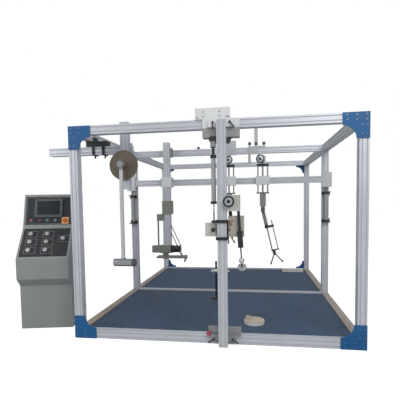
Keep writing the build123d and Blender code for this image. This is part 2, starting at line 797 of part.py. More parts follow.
plate_half = 1.5 * half
column_face = arm_front - clamp_plate
pendulum_column_y = column_face - half
pendulum_column_front = pendulum_column_y - half
with BuildPart() as pendulum_arm:
    slotted_bar((arm_left_end, arm_axis, arm_height), along_x, arm_length)
    block((pendulum_column_x - plate_half, pendulum_column_x + plate_half), (column_face + slide_gap, arm_front),
          (arm_height - plate_half, arm_height + plate_half))
    for offset in slot_offsets():
        slot_x = pendulum_column_x + offset
        block((slot_x - tongue_width / 2, slot_x + tongue_width / 2),
              (column_face + slide_gap - tongue_depth, column_face + slide_gap),
              (arm_height - plate_half, arm_height + plate_half))
keep(pendulum_arm, "pendulum_arm")

with BuildPart() as pendulum_column:
    slotted_bar((pendulum_column_x, pendulum_column_y, pendulum_column_bottom), along_z, pendulum_column_length)
keep(pendulum_column, "pendulum_column")

dial_back = pendulum_column_front - dial_standoff
dial_front = dial_back - dial_thickness
with BuildPart() as angle_dial:
    round_bar((pendulum_column_x, pendulum_column_front, pivot_height), -along_y, dial_standoff, dial_boss_diameter)
    round_bar((pendulum_column_x, dial_back, pivot_height), -along_y, dial_thickness, dial_diameter)
    round_bar((pendulum_column_x, pendulum_column_front, pivot_height), -along_y, dial_standoff + dial_thickness,
              pivot_shaft_diameter + 2 * running_gap, mode=Mode.SUBTRACT)
keep(angle_dial, "angle_dial")

# Pendulum: hub, shaft in the dial's boss, tube and a hammer with its flat on top
pendulum_y = pendulum_column_front - pendulum_offset
hammer_height = pivot_height - pendulum_reach
hammer_flat = hammer_height + hammer_diameter / 2 + hammer_boss
with BuildPart() as pendulum:
    hub_centre = Vector(pendulum_column_x, pendulum_y, pivot_height)
    hub_back = pendulum_y + pendulum_hub_diameter / 2
    round_bar(hub_centre - along_y * pendulum_hub_diameter / 2, along_y, pendulum_hub_diameter,
              pendulum_hub_diameter)
    round_bar((pendulum_column_x, hub_back, pivot_height), along_y, pendulum_column_front - 1 - hub_back,
              pivot_shaft_diameter)
    round_bar((pendulum_column_x, hub_back, pivot_height), along_y, dial_front - dial_hub_gap - hub_back,
              pendulum_hub_diameter * 0.7)
    round_bar((pendulum_column_x, pendulum_y, hammer_flat), along_z, pivot_height - hammer_flat,
              pendulum_tube_diameter)
keep(pendulum, "pendulum")

with BuildPart() as hammer:
    hammer_middle = pendulum_column_x + hammer_shift
    with BuildSketch(Plane(origin=(hammer_middle, pendulum_y, hammer_height), x_dir=along_x, z_dir=along_z)) as side:
        with BuildLine():
            radius = hammer_diameter / 2
            reach = hammer_length / 2
            chamfer = hammer_diameter * 0.07
            Polyline((-reach, 0), (-reach, radius - chamfer), (chamfer - reach, radius), (reach - 3 * chamfer, radius),
                     (reach - 3 * chamfer, radius - 2), (reach - chamfer, radius - 2), (reach, radius - chamfer - 2),
                     (reach, 0), close=True)
        make_face()
    revolve(axis=Axis((hammer_middle, pendulum_y, hammer_height), along_x))
    round_bar((pendulum_column_x, pendulum_y, hammer_height), along_z, hammer_flat - hammer_height,
              pendulum_tube_diameter + 12)
keep(hammer, "hammer")

# Front trolley: a column between an upper and a lower carriage on the front frame
trolley_back = front_face - trolley_plate
trolley_y = trolley_back - half
plate_back = front_face - slide_gap
with BuildPart() as trolley_column:
    slotted_bar((trolley_x, trolley_y, trolley_column_foot), along_z, trolley_column_top - trolley_column_foot)
keep(trolley_column, "trolley_column")

with BuildPart() as trolley_carriages:
    # Upper carriage: drilled plate, leg over the beam, box and wedge under it
    left, right = trolley_x - 234, trolley_x + 72
    block((left, right), (trolley_back, plate_back), (frame_height, frame_height + upper_flange))
    block((trolley_x - 170, trolley_x + 152), (trolley_back, plate_back), (beam_underside - 79, frame_height))
    block((left, right), (trolley_back, front_face + profile),
          (frame_height + slide_gap, frame_height + slide_gap + mounting_plate))
    for offset in slot_offsets():
        block((trolley_x - 170, trolley_x + 152), (plate_back, plate_back + tongue_depth),
              (top_z + offset - tongue_width / 2, top_z + offset + tongue_width / 2))
    block((trolley_x - 170, trolley_x + 152), (trolley_back, front_face + profile),
          (beam_underside - 79, beam_underside - slide_gap))
    with BuildSketch(Plane(origin=(trolley_x, front_face + profile, beam_underside - 79), x_dir=along_x,
                           z_dir=-along_y)) as wedge:
        with BuildLine():
            Polyline((-122, 0), (79, 0), (62, -44), (-104, -44), close=True)
        make_face()
    extrude(wedge.sketch, amount=profile + trolley_plate)
    cylinder_x = trolley_x - trolley_cylinder_offset
    block((cylinder_x - 25, cylinder_x + 25), (trolley_y - 25, trolley_back), (beam_underside - 123, beam_underside - 79))
    for start, end in ((-120, -half), (half, 114)):
        block((trolley_x + start, trolley_x + end), (trolley_back - 25, trolley_back), (1924, 1995))
        block((trolley_x + start, trolley_x + end), (trolley_back - 25, trolley_back), (36, 98))
    # Lower carriage: plate with tongues in the bottom beam and a leg over it
    block((trolley_x - 109, trolley_x + 111), (trolley_back, plate_back), (30, 165))
    block((trolley_x - 139, trolley_x + 155), (trolley_back, plate_back), (profile + slide_gap, 165))
    block((trolley_x - 139, trolley_x + 155), (trolley_back, front_face + profile * 0.75),
          (profile + slide_gap, profile + slide_gap + mounting_plate))
    block((trolley_x - 109, trolley_x + 111), (plate_back, plate_back + tongue_depth),
          (bottom_z + slot_offsets()[1] - tongue_width / 2, bottom_z + slot_offsets()[1] + tongue_width / 2))
keep(trolley_carriages, "trolley_carriages")

barrel_top = trolley_barrel_bottom + trolley_barrel_length
with BuildPart() as trolley_lift_cylinder:
    round_bar((cylinder_x, trolley_y, trolley_barrel_bottom), along_z, trolley_barrel_length, trolley_barrel_diameter)
    round_bar((cylinder_x, trolley_y, barrel_top), along_z, 65, 24)
    with BuildSketch(Plane(origin=(cylinder_x, trolley_y, barrel_top + 65))) as fitting:
        Rectangle(44, 44)
    extrude(fitting.sketch, amount=beam_underside - 123 - barrel_top - 65)
    for z in (trolley_barrel_bottom, barrel_top - 22):
        with BuildSketch(Plane(origin=(cylinder_x, trolley_y, z))) as cap:
            RectangleRounded(50, 50, 6)
        extrude(cap.sketch, amount=22)
    round_bar((cylinder_x, trolley_y, trolley_barrel_bottom - 1), along_z, trolley_barrel_length,
              trolley_rod_diameter + 2 * running_gap, mode=Mode.SUBTRACT)
keep(trolley_lift_cylinder, "trolley_lift_cylinder")

# Load carriage, held to the column by two rings
plate_rear = front_face - 3
plate_front = trolley_back + slide_gap
carriage_top = carriage_bottom + carriage_height
gearbox_x = trolley_x + 100
with BuildPart() as load_carriage:
    block((trolley_x - 157, trolley_x + 187), (plate_front, plate_rear), (carriage_bottom, carriage_top))
    block((trolley_x - 98, trolley_x - 63), (trolley_back - 22, plate_front), (carriage_bottom + 8, carriage_top - 10))
    round_bar((trolley_x - 80, trolley_back - 22, carriage_bottom + carriage_height / 2), -along_y, 14, 14)
    round_bar((trolley_x - 80, trolley_back - 36, carriage_bottom + carriage_height / 2), -along_y, 16, 38)
    block((trolley_x + 53, trolley_x + 187), (trolley_y - 10, plate_rear), (carriage_bottom, carriage_top + 59))
    block((cylinder_x - 20, cylinder_x + 18), (trolley_y - 20, plate_rear), (carriage_top, carriage_top + 20))
    block((cylinder_x - 20, cylinder_x + 18), (plate_front, plate_rear), (carriage_top - 20, carriage_top))
    round_bar((cylinder_x, trolley_y, carriage_top + 20), along_z, 1540 - carriage_top - 20, trolley_rod_diameter)
    tube_start = Vector(gearbox_x - 28, trolley_y - 8 + 30, carriage_top + 55)
    tube_end = Vector(gearbox_x - 44 + 10, trolley_y + 22, load_top_height + 30)
    round_bar(tube_start, tube_end - tube_start, (tube_end - tube_start).length, 30)
    with BuildSketch(Plane(origin=(gearbox_x, trolley_y - 12, load_top_height))) as housing:
        RectangleRounded(112, 96, 12)
    extrude(housing.sketch, amount=137)
keep(load_carriage, "load_carriage")

with BuildPart() as carriage_straps:
    for z in (carriage_bottom - strap_height, carriage_top):
        with BuildSketch(Plane.XY.offset(z)) as ring:
            with Locations((trolley_x, trolley_y)):
                Rectangle(profile + 2 * slide_gap + 2 * strap_thickness, profile + 2 * slide_gap + 2 * strap_thickness)
                Rectangle(profile + 2 * slide_gap, profile + 2 * slide_gap, mode=Mode.SUBTRACT)
        extrude(ring.sketch, amount=strap_height)
keep(carriage_straps, "carriage_straps")

with BuildPart() as carriage_handwheel:
    housing_front = trolley_y - 12 - 48
    handwheel(Vector(gearbox_x - 38, housing_front - handwheel_reach, load_top_height + 82), handwheel_diameter * 0.9)
keep(carriage_handwheel, "carriage_handwheel")

# Load cylinder under the gearbox, slightly tilted, with its rod, ball and pad
load_down = Vector(sin(radians(load_tilt)), 0, -cos(radians(load_tilt)))
load_side = Vector(cos(radians(load_tilt)), 0, sin(radians(load_tilt)))
load_top = Vector(trolley_x + load_top_offset, trolley_y - 38, load_top_height)
collar_start = load_guide_length
cylinder_start = collar_start + load_collar_height
cylinder_end = cylinder_start + load_cylinder_length
load_rod_hidden = load_stroke_out + load_rod_guided
load_bore_depth = load_rod_hidden + load_stroke_in + load_bore_end
ball_centre = cylinder_end + load_rod_visible + load_ball_diameter / 2
pad_joint = ball_centre + load_joint_drop


def along_load(down):
    """A point on the load cylinder's axis."""
    return load_top + load_down * down


with BuildPart() as load_cylinder:
    round_bar(along_load(-10), load_down, collar_start + 10, load_guide_diameter)
    block((load_top.X - half, load_top.X + half), (load_top.Y - half, load_top.Y + half),
          (load_top_height, load_top_height + 20), mode=Mode.SUBTRACT)
    round_bar(along_load(collar_start), load_down, load_collar_height, load_collar_diameter)
    round_bar(along_load(cylinder_start), load_down, load_cylinder_length, load_cylinder_diameter)
    round_bar(along_load(cylinder_end - load_bore_depth), load_down, load_bore_depth,
              load_rod_diameter + 2 * running_gap, mode=Mode.SUBTRACT)
keep(load_cylinder, "load_cylinder")

with BuildPart() as load_rod:
    round_bar(along_load(cylinder_end - load_rod_hidden), load_down,
              ball_centre - cylinder_end + load_rod_hidden, load_rod_diameter)
    with BuildSketch(Plane(origin=along_load(ball_centre), x_dir=load_side, z_dir=along_y)) as ball:
        with BuildLine():
            turns = [radians(180 * step / load_ball_sides) for step in range(load_ball_sides + 1)]
            Polyline(*[(load_ball_diameter / 2 * sin(turn), load_ball_diameter / 2 * cos(turn)) for turn in turns],
                     close=True)
        make_face()
    revolve(ball.sketch, axis=Axis(along_load(ball_centre), load_down))
    tongue_start = along_load(pad_joint) - load_side * load_tongue_width / 2
    with BuildSketch(Plane(origin=tongue_start, x_dir=along_y, z_dir=load_side)) as tongue:
        Circle(load_tongue_eye / 2)
        with Locations((0, load_joint_drop / 2)):
            Rectangle(load_tongue_eye, load_joint_drop)
        Circle(load_pin_diameter / 2 + running_gap, mode=Mode.SUBTRACT)
    extrude(tongue.sketch, amount=load_tongue_width)
keep(load_rod, "load_rod")

# Pad on a cross pin, with two ears beside the rod's tongue
pad_down = load_down * cos(radians(load_pad_tilt)) + along_y * sin(radians(load_pad_tilt))
pad_across = load_side.cross(pad_down)
ear_start = load_tongue_width / 2 + slide_gap
with BuildPart() as load_pad:
    joint_centre = along_load(pad_joint)
    for side in (-1, 1):
        ear_face = joint_centre + load_side * side * ear_start
        with BuildSketch(Plane(origin=ear_face, x_dir=pad_across, z_dir=load_side * side)) as ear:
            Circle(load_tongue_eye / 2)
        extrude(ear.sketch, amount=load_ear_thickness)
        with BuildSketch(Plane(origin=ear_face, x_dir=pad_across, z_dir=pad_down)) as root:
            with Locations((0, side * load_ear_thickness / 2)):
                Rectangle(load_tongue_eye, load_ear_thickness)
        extrude(root.sketch, amount=load_pad_drop)
    pin_end = ear_start + load_ear_thickness
    round_bar(joint_centre - load_side * pin_end, load_side, 2 * pin_end, load_pin_diameter)
    round_bar(joint_centre + pad_down * load_pad_drop, pad_down, load_pad_thickness, load_pad_diameter)
keep(load_pad, "load_pad")

# Console: a sheet cabinet with an apron and two sloping panels
console_y = front_face + console_setback
console_right = Vector(cos(radians(console_yaw)), sin(radians(console_yaw)), 0)
console_forward = Vector(sin(radians(console_yaw)), -cos(radians(console_yaw)), 0)
console_base = Vector(console_x, console_y, 0) - console_right * console_width / 2
lower_run = console_apron_reach + console_knee_back
lower_rise = console_knee - console_apron_top
upper_run = console_top_back - console_knee_back
upper_rise = console_height - console_knee
lower_length = (lower_run ** 2 + lower_rise ** 2) ** 0.5
upper_length = (upper_run ** 2 + upper_rise ** 2) ** 0.5


def console_slope(forward, up, run, rise):
    """The plane of a sloping panel: x to the right, y up the slope, z out of it."""
    out = console_forward * rise + along_z * run
    return Plane(origin=console_base + console_forward * forward + along_z * up, x_dir=console_right, z_dir=out)


lower_slope = console_slope(console_apron_reach, console_apron_top, lower_run, lower_rise)
upper_slope = console_slope(-console_knee_back, console_knee, upper_run, upper_rise)


def slope_disc(slope, place, start, end, diameter, mode=Mode.ADD):
    """A disc, or a round hole, square to a sloping panel between two distances out of it."""
    with BuildSketch(slope.offset(start)) as face:
        with Locations(place):
            Circle(diameter / 2)
    extrude(face.sketch, amount=end - start, mode=mode)


def slope_sheet(slope, left, bottom, width, height, start, thickness, mode=Mode.ADD):
    """A rectangular sheet, or a pocket, on a sloping panel."""
    with BuildSketch(slope.offset(start)) as face:
        with Locations((left + width / 2, bottom + height / 2)):
            Rectangle(width, height)
    extrude(face.sketch, amount=thickness, mode=mode)


def button_place(number):
    """Where a push button's axis meets the upper panel."""
    return (button_first + number * button_spacing, button_row)


button_bore = button_diameter + 2 * running_gap
knob_bore = knob_stem_diameter + 2 * running_gap
stop_bore = stop_stem_diameter + 2 * running_gap
with BuildPart() as console_cabinet:
    with BuildSketch(Plane(origin=console_base, x_dir=console_forward, z_dir=-console_right)) as side:
        with BuildLine():
            Polyline((0, 0), (0, console_waist), (console_apron_reach, console_apron_bottom),
                     (console_apron_reach, console_apron_top), (-console_knee_back, console_knee),
                     (-console_top_back, console_height), (-console_base_depth, console_height),
                     (-console_base_depth, 0), close=True)
        make_face()
        fillet(side.vertices().sort_by(Axis.X)[-2:], console_corner)
    extrude(side.sketch, amount=-console_width)
    for number in range(4):
        slope_disc(upper_slope, button_place(number), -control_depth, 0, button_bore, mode=Mode.SUBTRACT)
    slope_disc(upper_slope, stop_plate_place, -control_depth, 0, stop_bore, mode=Mode.SUBTRACT)
    for place in knob_places:
        slope_disc(lower_slope, place, -control_depth, 0, knob_bore, mode=Mode.SUBTRACT)
keep(console_cabinet, "console_cabinet")

with BuildPart() as console_panels:
    panel_width = console_width - 2 * console_panel_margin
    for slope, length, foot, head_margin in ((lower_slope, lower_length, console_panel_margin, 15),
                                             (upper_slope, upper_length, 32, 26)):
        slope_sheet(slope, console_panel_margin, foot, panel_width, length - foot - head_margin, 0,
                    console_panel_thickness)
    for number in range(4):
        slope_disc(upper_slope, button_place(number), 0, console_panel_thickness, button_bore, mode=Mode.SUBTRACT)
    slope_disc(upper_slope, stop_plate_place, 0, console_panel_thickness, stop_bore, mode=Mode.SUBTRACT)
    for place in knob_places:
        slope_disc(lower_slope, place, 0, console_panel_thickness, knob_bore, mode=Mode.SUBTRACT)
keep(console_panels, "console_panels")

with BuildPart() as touch_screen:
    slope_sheet(upper_slope, screen_left, screen_bottom, screen_width, screen_height, console_panel_thickness,
                screen_frame_thickness)
    slope_sheet(upper_slope, screen_left + screen_border, screen_bottom + screen_border,
                screen_width - 2 * screen_border, screen_height - 2 * screen_border,
                console_panel_thickness + screen_frame_thickness - screen_recess, screen_recess, mode=Mode.SUBTRACT)
keep(touch_screen, "touch_screen")

with BuildPart() as emergency_stop_plate:
    slope_sheet(upper_slope, stop_plate_place[0] - stop_plate_size / 2, stop_plate_place[1] - stop_plate_size / 2,
                stop_plate_size, stop_plate_size, console_panel_thickness, console_panel_thickness)
    slope_disc(upper_slope, stop_plate_place, console_panel_thickness, 2 * console_panel_thickness, stop_bore,
               mode=Mode.SUBTRACT)
keep(emergency_stop_plate, "emergency_stop_plate")

with BuildPart() as emergency_stop_button:
    stop_under = 2 * console_panel_thickness + stop_travel + slide_gap
    slope_disc(upper_slope, stop_plate_place, stop_travel + 2 - control_depth, stop_under, stop_stem_diameter)
    slope_disc(upper_slope, stop_plate_place, stop_under, stop_under + 12, stop_button_diameter)
    slope_disc(upper_slope, stop_plate_place, stop_under + 12, stop_under + 16, stop_button_diameter * 0.8)
keep(emergency_stop_button, "emergency_stop_button")

button_names = ("reset_button", "stop_button", "start_button", "step_button")
for number, name in enumerate(button_names):
    with BuildPart() as button:
        slope_disc(upper_slope, button_place(number), button_travel + 2 - control_depth,
                   console_panel_thickness + button_height, button_diameter)
    keep(button, name)

for number, place in enumerate(knob_places, start=1):
    with BuildPart() as knob:
        knob_base = console_panel_thickness + slide_gap
        slope_disc(lower_slope, place, 2 - control_depth, knob_base, knob_stem_diameter)
        slope_disc(lower_slope, place, knob_base, knob_base + knob_height, knob_diameter)
        pointer = (knob_diameter * 0.12, knob_diameter * 0.4)
        slope_sheet(lower_slope, place[0] - pointer[0] / 2, place[1], pointer[0], pointer[1] + 2,
                    knob_base + knob_height - 1.5, 1.5, mode=Mode.SUBTRACT)
    keep(knob, f"control_knob_{number}")

# Loose accessories that stand on the floor panels
spare_pad_y = front_face + spare_pad_setback
with BuildPart() as spare_pad:
    round_bar((spare_pad_x, spare_pad_y, panel_top), along_z, spare_pad_height, spare_pad_diameter)
    clevis_x = spare_pad_x - spare_pad_diameter * 0.3
    for side in (-1, 1):
        block((clevis_x - 22, clevis_x + 22), (spare_pad_y + side * 14 - 5, spare_pad_y + side * 14 + 5),
              (panel_top + spare_pad_height, panel_top + spare_pad_height + 36))
    block((clevis_x - 22, clevis_x + 22), (spare_pad_y - 19, spare_pad_y + 19),
          (panel_top + spare_pad_height, panel_top + spare_pad_height + 8))
    round_bar((clevis_x, spare_pad_y - 24, panel_top + spare_pad_height + 24), along_y, 48, 12)
keep(spare_pad, "spare_pad")

stand_y = -stand_forward
with BuildPart() as stop_stand:
    round_bar((stand_x, stand_y, panel_top), along_z, stand_base_height, stand_base_diameter)
    round_bar((stand_x, stand_y, panel_top), along_z, stand_height, stand_rod_diameter)
keep(stop_stand, "stop_stand")

with BuildPart() as stop_crossbar:
    bar_height = panel_top + crossbar_height
    bar_y = stand_y - stand_rod_diameter / 2 - 8
    round_bar((stand_x - crossbar_length / 2 + crossbar_shift, bar_y - 12, bar_height), along_x, crossbar_length, 24)
    block((stand_x - 24, stand_x + 24), (bar_y - 8, stand_y + 24), (bar_height - 20, bar_height + 20))
    round_bar((stand_x, stand_y, bar_height - 30), along_z, 60, stand_rod_diameter + 2 * running_gap,
              mode=Mode.SUBTRACT)
    round_bar((stand_x, stand_y + 24, bar_height), along_y, 14, 30)
keep(stop_crossbar, "stop_crossbar")

spare_bar_y = back_y - spare_bar_forward
with BuildPart() as spare_bar:
    with BuildSketch(Plane(origin=(spare_bar_x - spare_bar_length / 2, spare_bar_y, panel_top + spare_bar_size / 2),
                           x_dir=along_y, z_dir=along_x)) as section:
        RectangleRounded(spare_bar_size, spare_bar_size, 6)
        RectangleRounded(spare_bar_size - 8, spare_bar_size - 8, 3, mode=Mode.SUBTRACT)
    extrude(amount=spare_bar_length)
keep(spare_bar, "spare_bar")
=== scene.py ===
import math
import bmesh
import bpy
from mathutils import Matrix, Vector


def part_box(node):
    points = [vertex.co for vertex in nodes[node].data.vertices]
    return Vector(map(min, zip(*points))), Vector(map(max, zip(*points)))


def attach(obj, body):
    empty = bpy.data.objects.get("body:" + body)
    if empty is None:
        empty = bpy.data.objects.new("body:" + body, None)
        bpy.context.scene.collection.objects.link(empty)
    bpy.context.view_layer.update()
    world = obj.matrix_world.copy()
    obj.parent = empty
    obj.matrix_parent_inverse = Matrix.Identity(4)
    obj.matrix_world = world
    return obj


# Furniture testing machine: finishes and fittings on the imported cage, stations, pendulum, trolley
# and console. Metres, in the frame of the model: X to the right, Y to the back, Z up.

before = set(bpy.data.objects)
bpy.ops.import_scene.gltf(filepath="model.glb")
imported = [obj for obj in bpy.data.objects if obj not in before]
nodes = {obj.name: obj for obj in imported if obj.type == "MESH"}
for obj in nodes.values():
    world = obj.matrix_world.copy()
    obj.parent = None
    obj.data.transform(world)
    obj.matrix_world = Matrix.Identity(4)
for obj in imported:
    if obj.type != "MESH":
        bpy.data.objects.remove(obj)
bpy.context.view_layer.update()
Y = Vector((0, 1, 0))
Z = Vector((0, 0, 1))


# Shader groups shared by the finishes

def new_group(name, inputs, outputs):
    """A shader node group with named value inputs and outputs, and its two end nodes."""
    group = bpy.data.node_groups.new(name, "ShaderNodeTree")
    for label, default in inputs:
        socket = group.interface.new_socket(label, in_out="INPUT", socket_type="NodeSocketFloat")
        socket.default_value = default
    for label in outputs:
        group.interface.new_socket(label, in_out="OUTPUT", socket_type="NodeSocketFloat")
    return group, group.nodes.new("NodeGroupInput"), group.nodes.new("NodeGroupOutput")


def math_node(tree, operation, first, second=None, third=None, clamp=False):
    """A Math node whose inputs are sockets or plain numbers; gives its output."""
    node = tree.nodes.new("ShaderNodeMath")
    node.operation = operation
    node.use_clamp = clamp
    for socket, value in zip(node.inputs, (first, second, third)):
        if value is None:
            continue
        if isinstance(value, (int, float)):
            socket.default_value = value
        else:
            tree.links.new(value, socket)
    return node.outputs[0]


def object_point(tree, scale=(1, 1, 1)):
    """The point on the piece, stretched by a scale on each axis."""
    place = tree.nodes.new("ShaderNodeTexCoord")
    stretch = tree.nodes.new("ShaderNodeMapping")
    stretch.inputs["Scale"].default_value = scale
    tree.links.new(place.outputs["Object"], stretch.inputs["Vector"])
    return stretch.outputs["Vector"]


def noise(tree, vector, scale, detail=3.0, rough=0.55):
    """A noise texture's value at a point."""
    node = tree.nodes.new("ShaderNodeTexNoise")
    tree.links.new(vector, node.inputs["Vector"])
    node.inputs["Detail"].default_value = detail
    node.inputs["Roughness"].default_value = rough
    if isinstance(scale, (int, float)):
        node.inputs["Scale"].default_value = scale
    else:
        tree.links.new(scale, node.inputs["Scale"])
    return node.outputs[0]


def stretched(value, low, high, tree):
    """Maps a value's range from low to high onto 0 to 1."""
    node = tree.nodes.new("ShaderNodeMapRange")
    node.inputs["From Min"].default_value = low
    node.inputs["From Max"].default_value = high
    tree.links.new(value, node.inputs["Value"])
    return node.outputs["Result"]


def build_edge_wear():
    """Where corners are rubbed: the rounded normal turns away from the flat one, broken up by noise."""
    group, start, end = new_group("edge_wear", (("Radius", 0.002), ("Spread", 60.0)), ("Mask",))
    bevel = group.nodes.new("ShaderNodeBevel")
    bevel.samples = 4
    flat = group.nodes.new("ShaderNodeNewGeometry")
    turn = group.nodes.new("ShaderNodeVectorMath")
    turn.operation = "DOT_PRODUCT"
    group.links.new(start.outputs["Radius"], bevel.inputs["Radius"])
    group.links.new(bevel.outputs["Normal"], turn.inputs[0])
    group.links.new(flat.outputs["Normal"], turn.inputs[1])
    rubbed = stretched(math_node(group, "SUBTRACT", 1.0, turn.outputs["Value"]), 0.02, 0.25, group)
    broken = stretched(noise(group, object_point(group), start.outputs["Spread"]), 0.35, 0.6, group)
    group.links.new(math_node(group, "MULTIPLY", rubbed, broken, clamp=True), end.inputs["Mask"])
    return group


def build_grain():
    """Fine grain for bump, and a slow mottle for colour and roughness."""
    group, start, end = new_group("grain", (("Grain Scale", 900.0), ("Mottle Scale", 4.0)),
                                  ("Grain", "Mottle"))
    point = object_point(group)
    group.links.new(noise(group, point, start.outputs["Grain Scale"], 2.0), end.inputs["Grain"])
    slow = noise(group, point, start.outputs["Mottle Scale"], 4.0)
    group.links.new(stretched(slow, 0.3, 0.7, group), end.inputs["Mottle"])
    return group


def build_streaks(name, scale):
    """Drawn or brushed lines along the axis with the small scale."""
    group, start, end = new_group(name, (("Line Scale", 1.0),), ("Lines",))
    lines = noise(group, object_point(group, scale), start.outputs["Line Scale"], 3.0, 0.65)
    group.links.new(stretched(lines, 0.3, 0.7, group), end.inputs["Lines"])
    return group


def build_dust():
    """Dust on faces that look up."""
    group, start, end = new_group("dust", (("Amount", 0.5), ("Patch Scale", 14.0)), ("Mask",))
    surface = group.nodes.new("ShaderNodeNewGeometry")
    split = group.nodes.new("ShaderNodeSeparateXYZ")
    group.links.new(surface.outputs["Normal"], split.inputs[0])
    up = stretched(split.outputs["Z"], 0.4, 1.0, group)
    patches = noise(group, object_point(group), start.outputs["Patch Scale"], 5.0)
    patch = stretched(patches, 0.35, 0.75, group)
    amount = math_node(group, "MULTIPLY", start.outputs["Amount"], patch)
    group.links.new(math_node(group, "MULTIPLY", up, amount, clamp=True), end.inputs["Mask"])
    return group


edge_wear = build_edge_wear()
grain = build_grain()
dust = build_dust()
streaks = {"x": build_streaks("streaks_x", (3, 500, 500)), "y": build_streaks("streaks_y", (500, 3, 500)),
           "z": build_streaks("streaks_z", (500, 500, 3))}


def place_group(tree, group, **values):
    """Places a shared group in a material with its own values."""
    node = tree.nodes.new("ShaderNodeGroup")
    node.node_tree = group
    for label, value in values.items():
        node.inputs[label.replace("_", " ")].default_value = value
    return node


# Sockets of a colour Mix node
first_colour = 6
second_colour = 7
mixed_colour = 2


def linear(colour):
    """A colour given as screen values from 0 to 255, made linear."""
    return tuple(((c / 255 + 0.055) / 1.055) ** 2.4 if c > 10 else c / 255 / 12.92
                 for c in colour) + (1.0,)


def blend_colour(tree, factor, first, second):
    """Mixes two colours, which are sockets or plain colours."""
    node = tree.nodes.new("ShaderNodeMix")
    node.data_type = "RGBA"
    if isinstance(factor, (int, float)):
        node.inputs["Factor"].default_value = factor
    else:
        tree.links.new(factor, node.inputs["Factor"])
    for socket, value in ((node.inputs[first_colour], first), (node.inputs[second_colour], second)):
        if isinstance(value, tuple):
            socket.default_value = value
        else:
            tree.links.new(value, socket)
    return node.outputs[mixed_colour]


def zone(tree, limits):
    """1 inside a box of the piece's own space, given as (axis, low, high) limits; 0 outside."""
    split = tree.nodes.new("ShaderNodeSeparateXYZ")
    tree.links.new(object_point(tree), split.inputs[0])
    mask = None
    for axis, low, high in limits:
        value = split.outputs[axis.upper()]
        above = math_node(tree, "GREATER_THAN", value, low)
        below = math_node(tree, "LESS_THAN", value, high)
        both = math_node(tree, "MULTIPLY", above, below)
        mask = both if mask is None else math_node(tree, "MULTIPLY", mask, both)
    return mask


# Values that every finish shares
coat_roughness = 0.12
mottle_darkening = 1.6
mottle_roughness = 0.12
line_shade = 0.22
dust_colour = (176, 172, 164)
dust_roughness = 0.25
bump_distance = 0.0004


def finish(name, colour, rough=0.45, metal=0.0, lines=None, line_depth=0.25, grain_scale=900.0,
           grain_depth=0.15, mottle=0.12, mottle_scale=4.0, wear=0.5, wear_colour=(190, 192, 195),
           wear_radius=0.002, dusty=0.25, coat=0.0, zones=()):
    """A finish: base colour with mottle, drawn lines or grain, rubbed edges, dust and coloured zones.

    A zone is (limits, colour, metal, rough), and a limit is (axis, low, high)."""
    material = bpy.data.materials.new(name)
    material.use_nodes = True
    tree = material.node_tree
    shader = tree.nodes["Principled BSDF"]
    shader.inputs["Coat Weight"].default_value = coat
    shader.inputs["Coat Roughness"].default_value = coat_roughness
    grains = place_group(tree, grain, Grain_Scale=grain_scale, Mottle_Scale=mottle_scale)
    dark = tuple(c * (1 - mottle * mottle_darkening) for c in linear(colour)[:3]) + (1.0,)
    base = blend_colour(tree, grains.outputs["Mottle"], dark, linear(colour))
    metallic = metal
    roughness = math_node(tree, "MULTIPLY_ADD", grains.outputs["Mottle"], mottle_roughness,
                          rough - mottle_roughness / 2)
    for limits, zone_colour, zone_metal, zone_rough in zones:
        mask = zone(tree, limits)
        shade = tuple(c * (1 - mottle) for c in linear(zone_colour)[:3]) + (1.0,)
        mottled = blend_colour(tree, grains.outputs["Mottle"], shade, linear(zone_colour))
        base = blend_colour(tree, mask, base, mottled)
        metal_step = math_node(tree, "MULTIPLY", mask, zone_metal - metal)
        metallic = math_node(tree, "ADD", metal_step, metallic)
        rough_step = math_node(tree, "MULTIPLY", mask, zone_rough - rough)
        roughness = math_node(tree, "ADD", rough_step, roughness)
    if wear:
        rubbed = place_group(tree, edge_wear, Radius=wear_radius)
        share = math_node(tree, "MULTIPLY", rubbed.outputs["Mask"], wear)
        base = blend_colour(tree, share, base, linear(wear_colour))
    height = grains.outputs["Grain"]
    depth = grain_depth
    if lines:
        drawn = place_group(tree, streaks[lines])
        share = math_node(tree, "MULTIPLY", drawn.outputs["Lines"], line_shade)
        base = blend_colour(tree, share, base, dark)
        height = drawn.outputs["Lines"]
        depth = line_depth
    if dusty:
        settled = place_group(tree, dust, Amount=dusty)
        base = blend_colour(tree, settled.outputs["Mask"], base, linear(dust_colour))
        dull = math_node(tree, "MULTIPLY", settled.outputs["Mask"], dust_roughness)
        roughness = math_node(tree, "ADD", dull, roughness)
    tree.links.new(base, shader.inputs["Base Color"])
    tree.links.new(roughness, shader.inputs["Roughness"])
    if isinstance(metallic, (int, float)):
        shader.inputs["Metallic"].default_value = metallic
    else:
        tree.links.new(metallic, shader.inputs["Metallic"])
    bump = tree.nodes.new("ShaderNodeBump")
    bump.inputs["Strength"].default_value = depth
    bump.inputs["Distance"].default_value = bump_distance
    tree.links.new(height, bump.inputs["Height"])
    tree.links.new(bump.outputs["Normal"], shader.inputs["Normal"])
    return material


def band(limits, colour, metal, rough, axis="z"):
    """A zone of another colour between two limits along one axis."""
    return ((axis, *limits),), colour, metal, rough


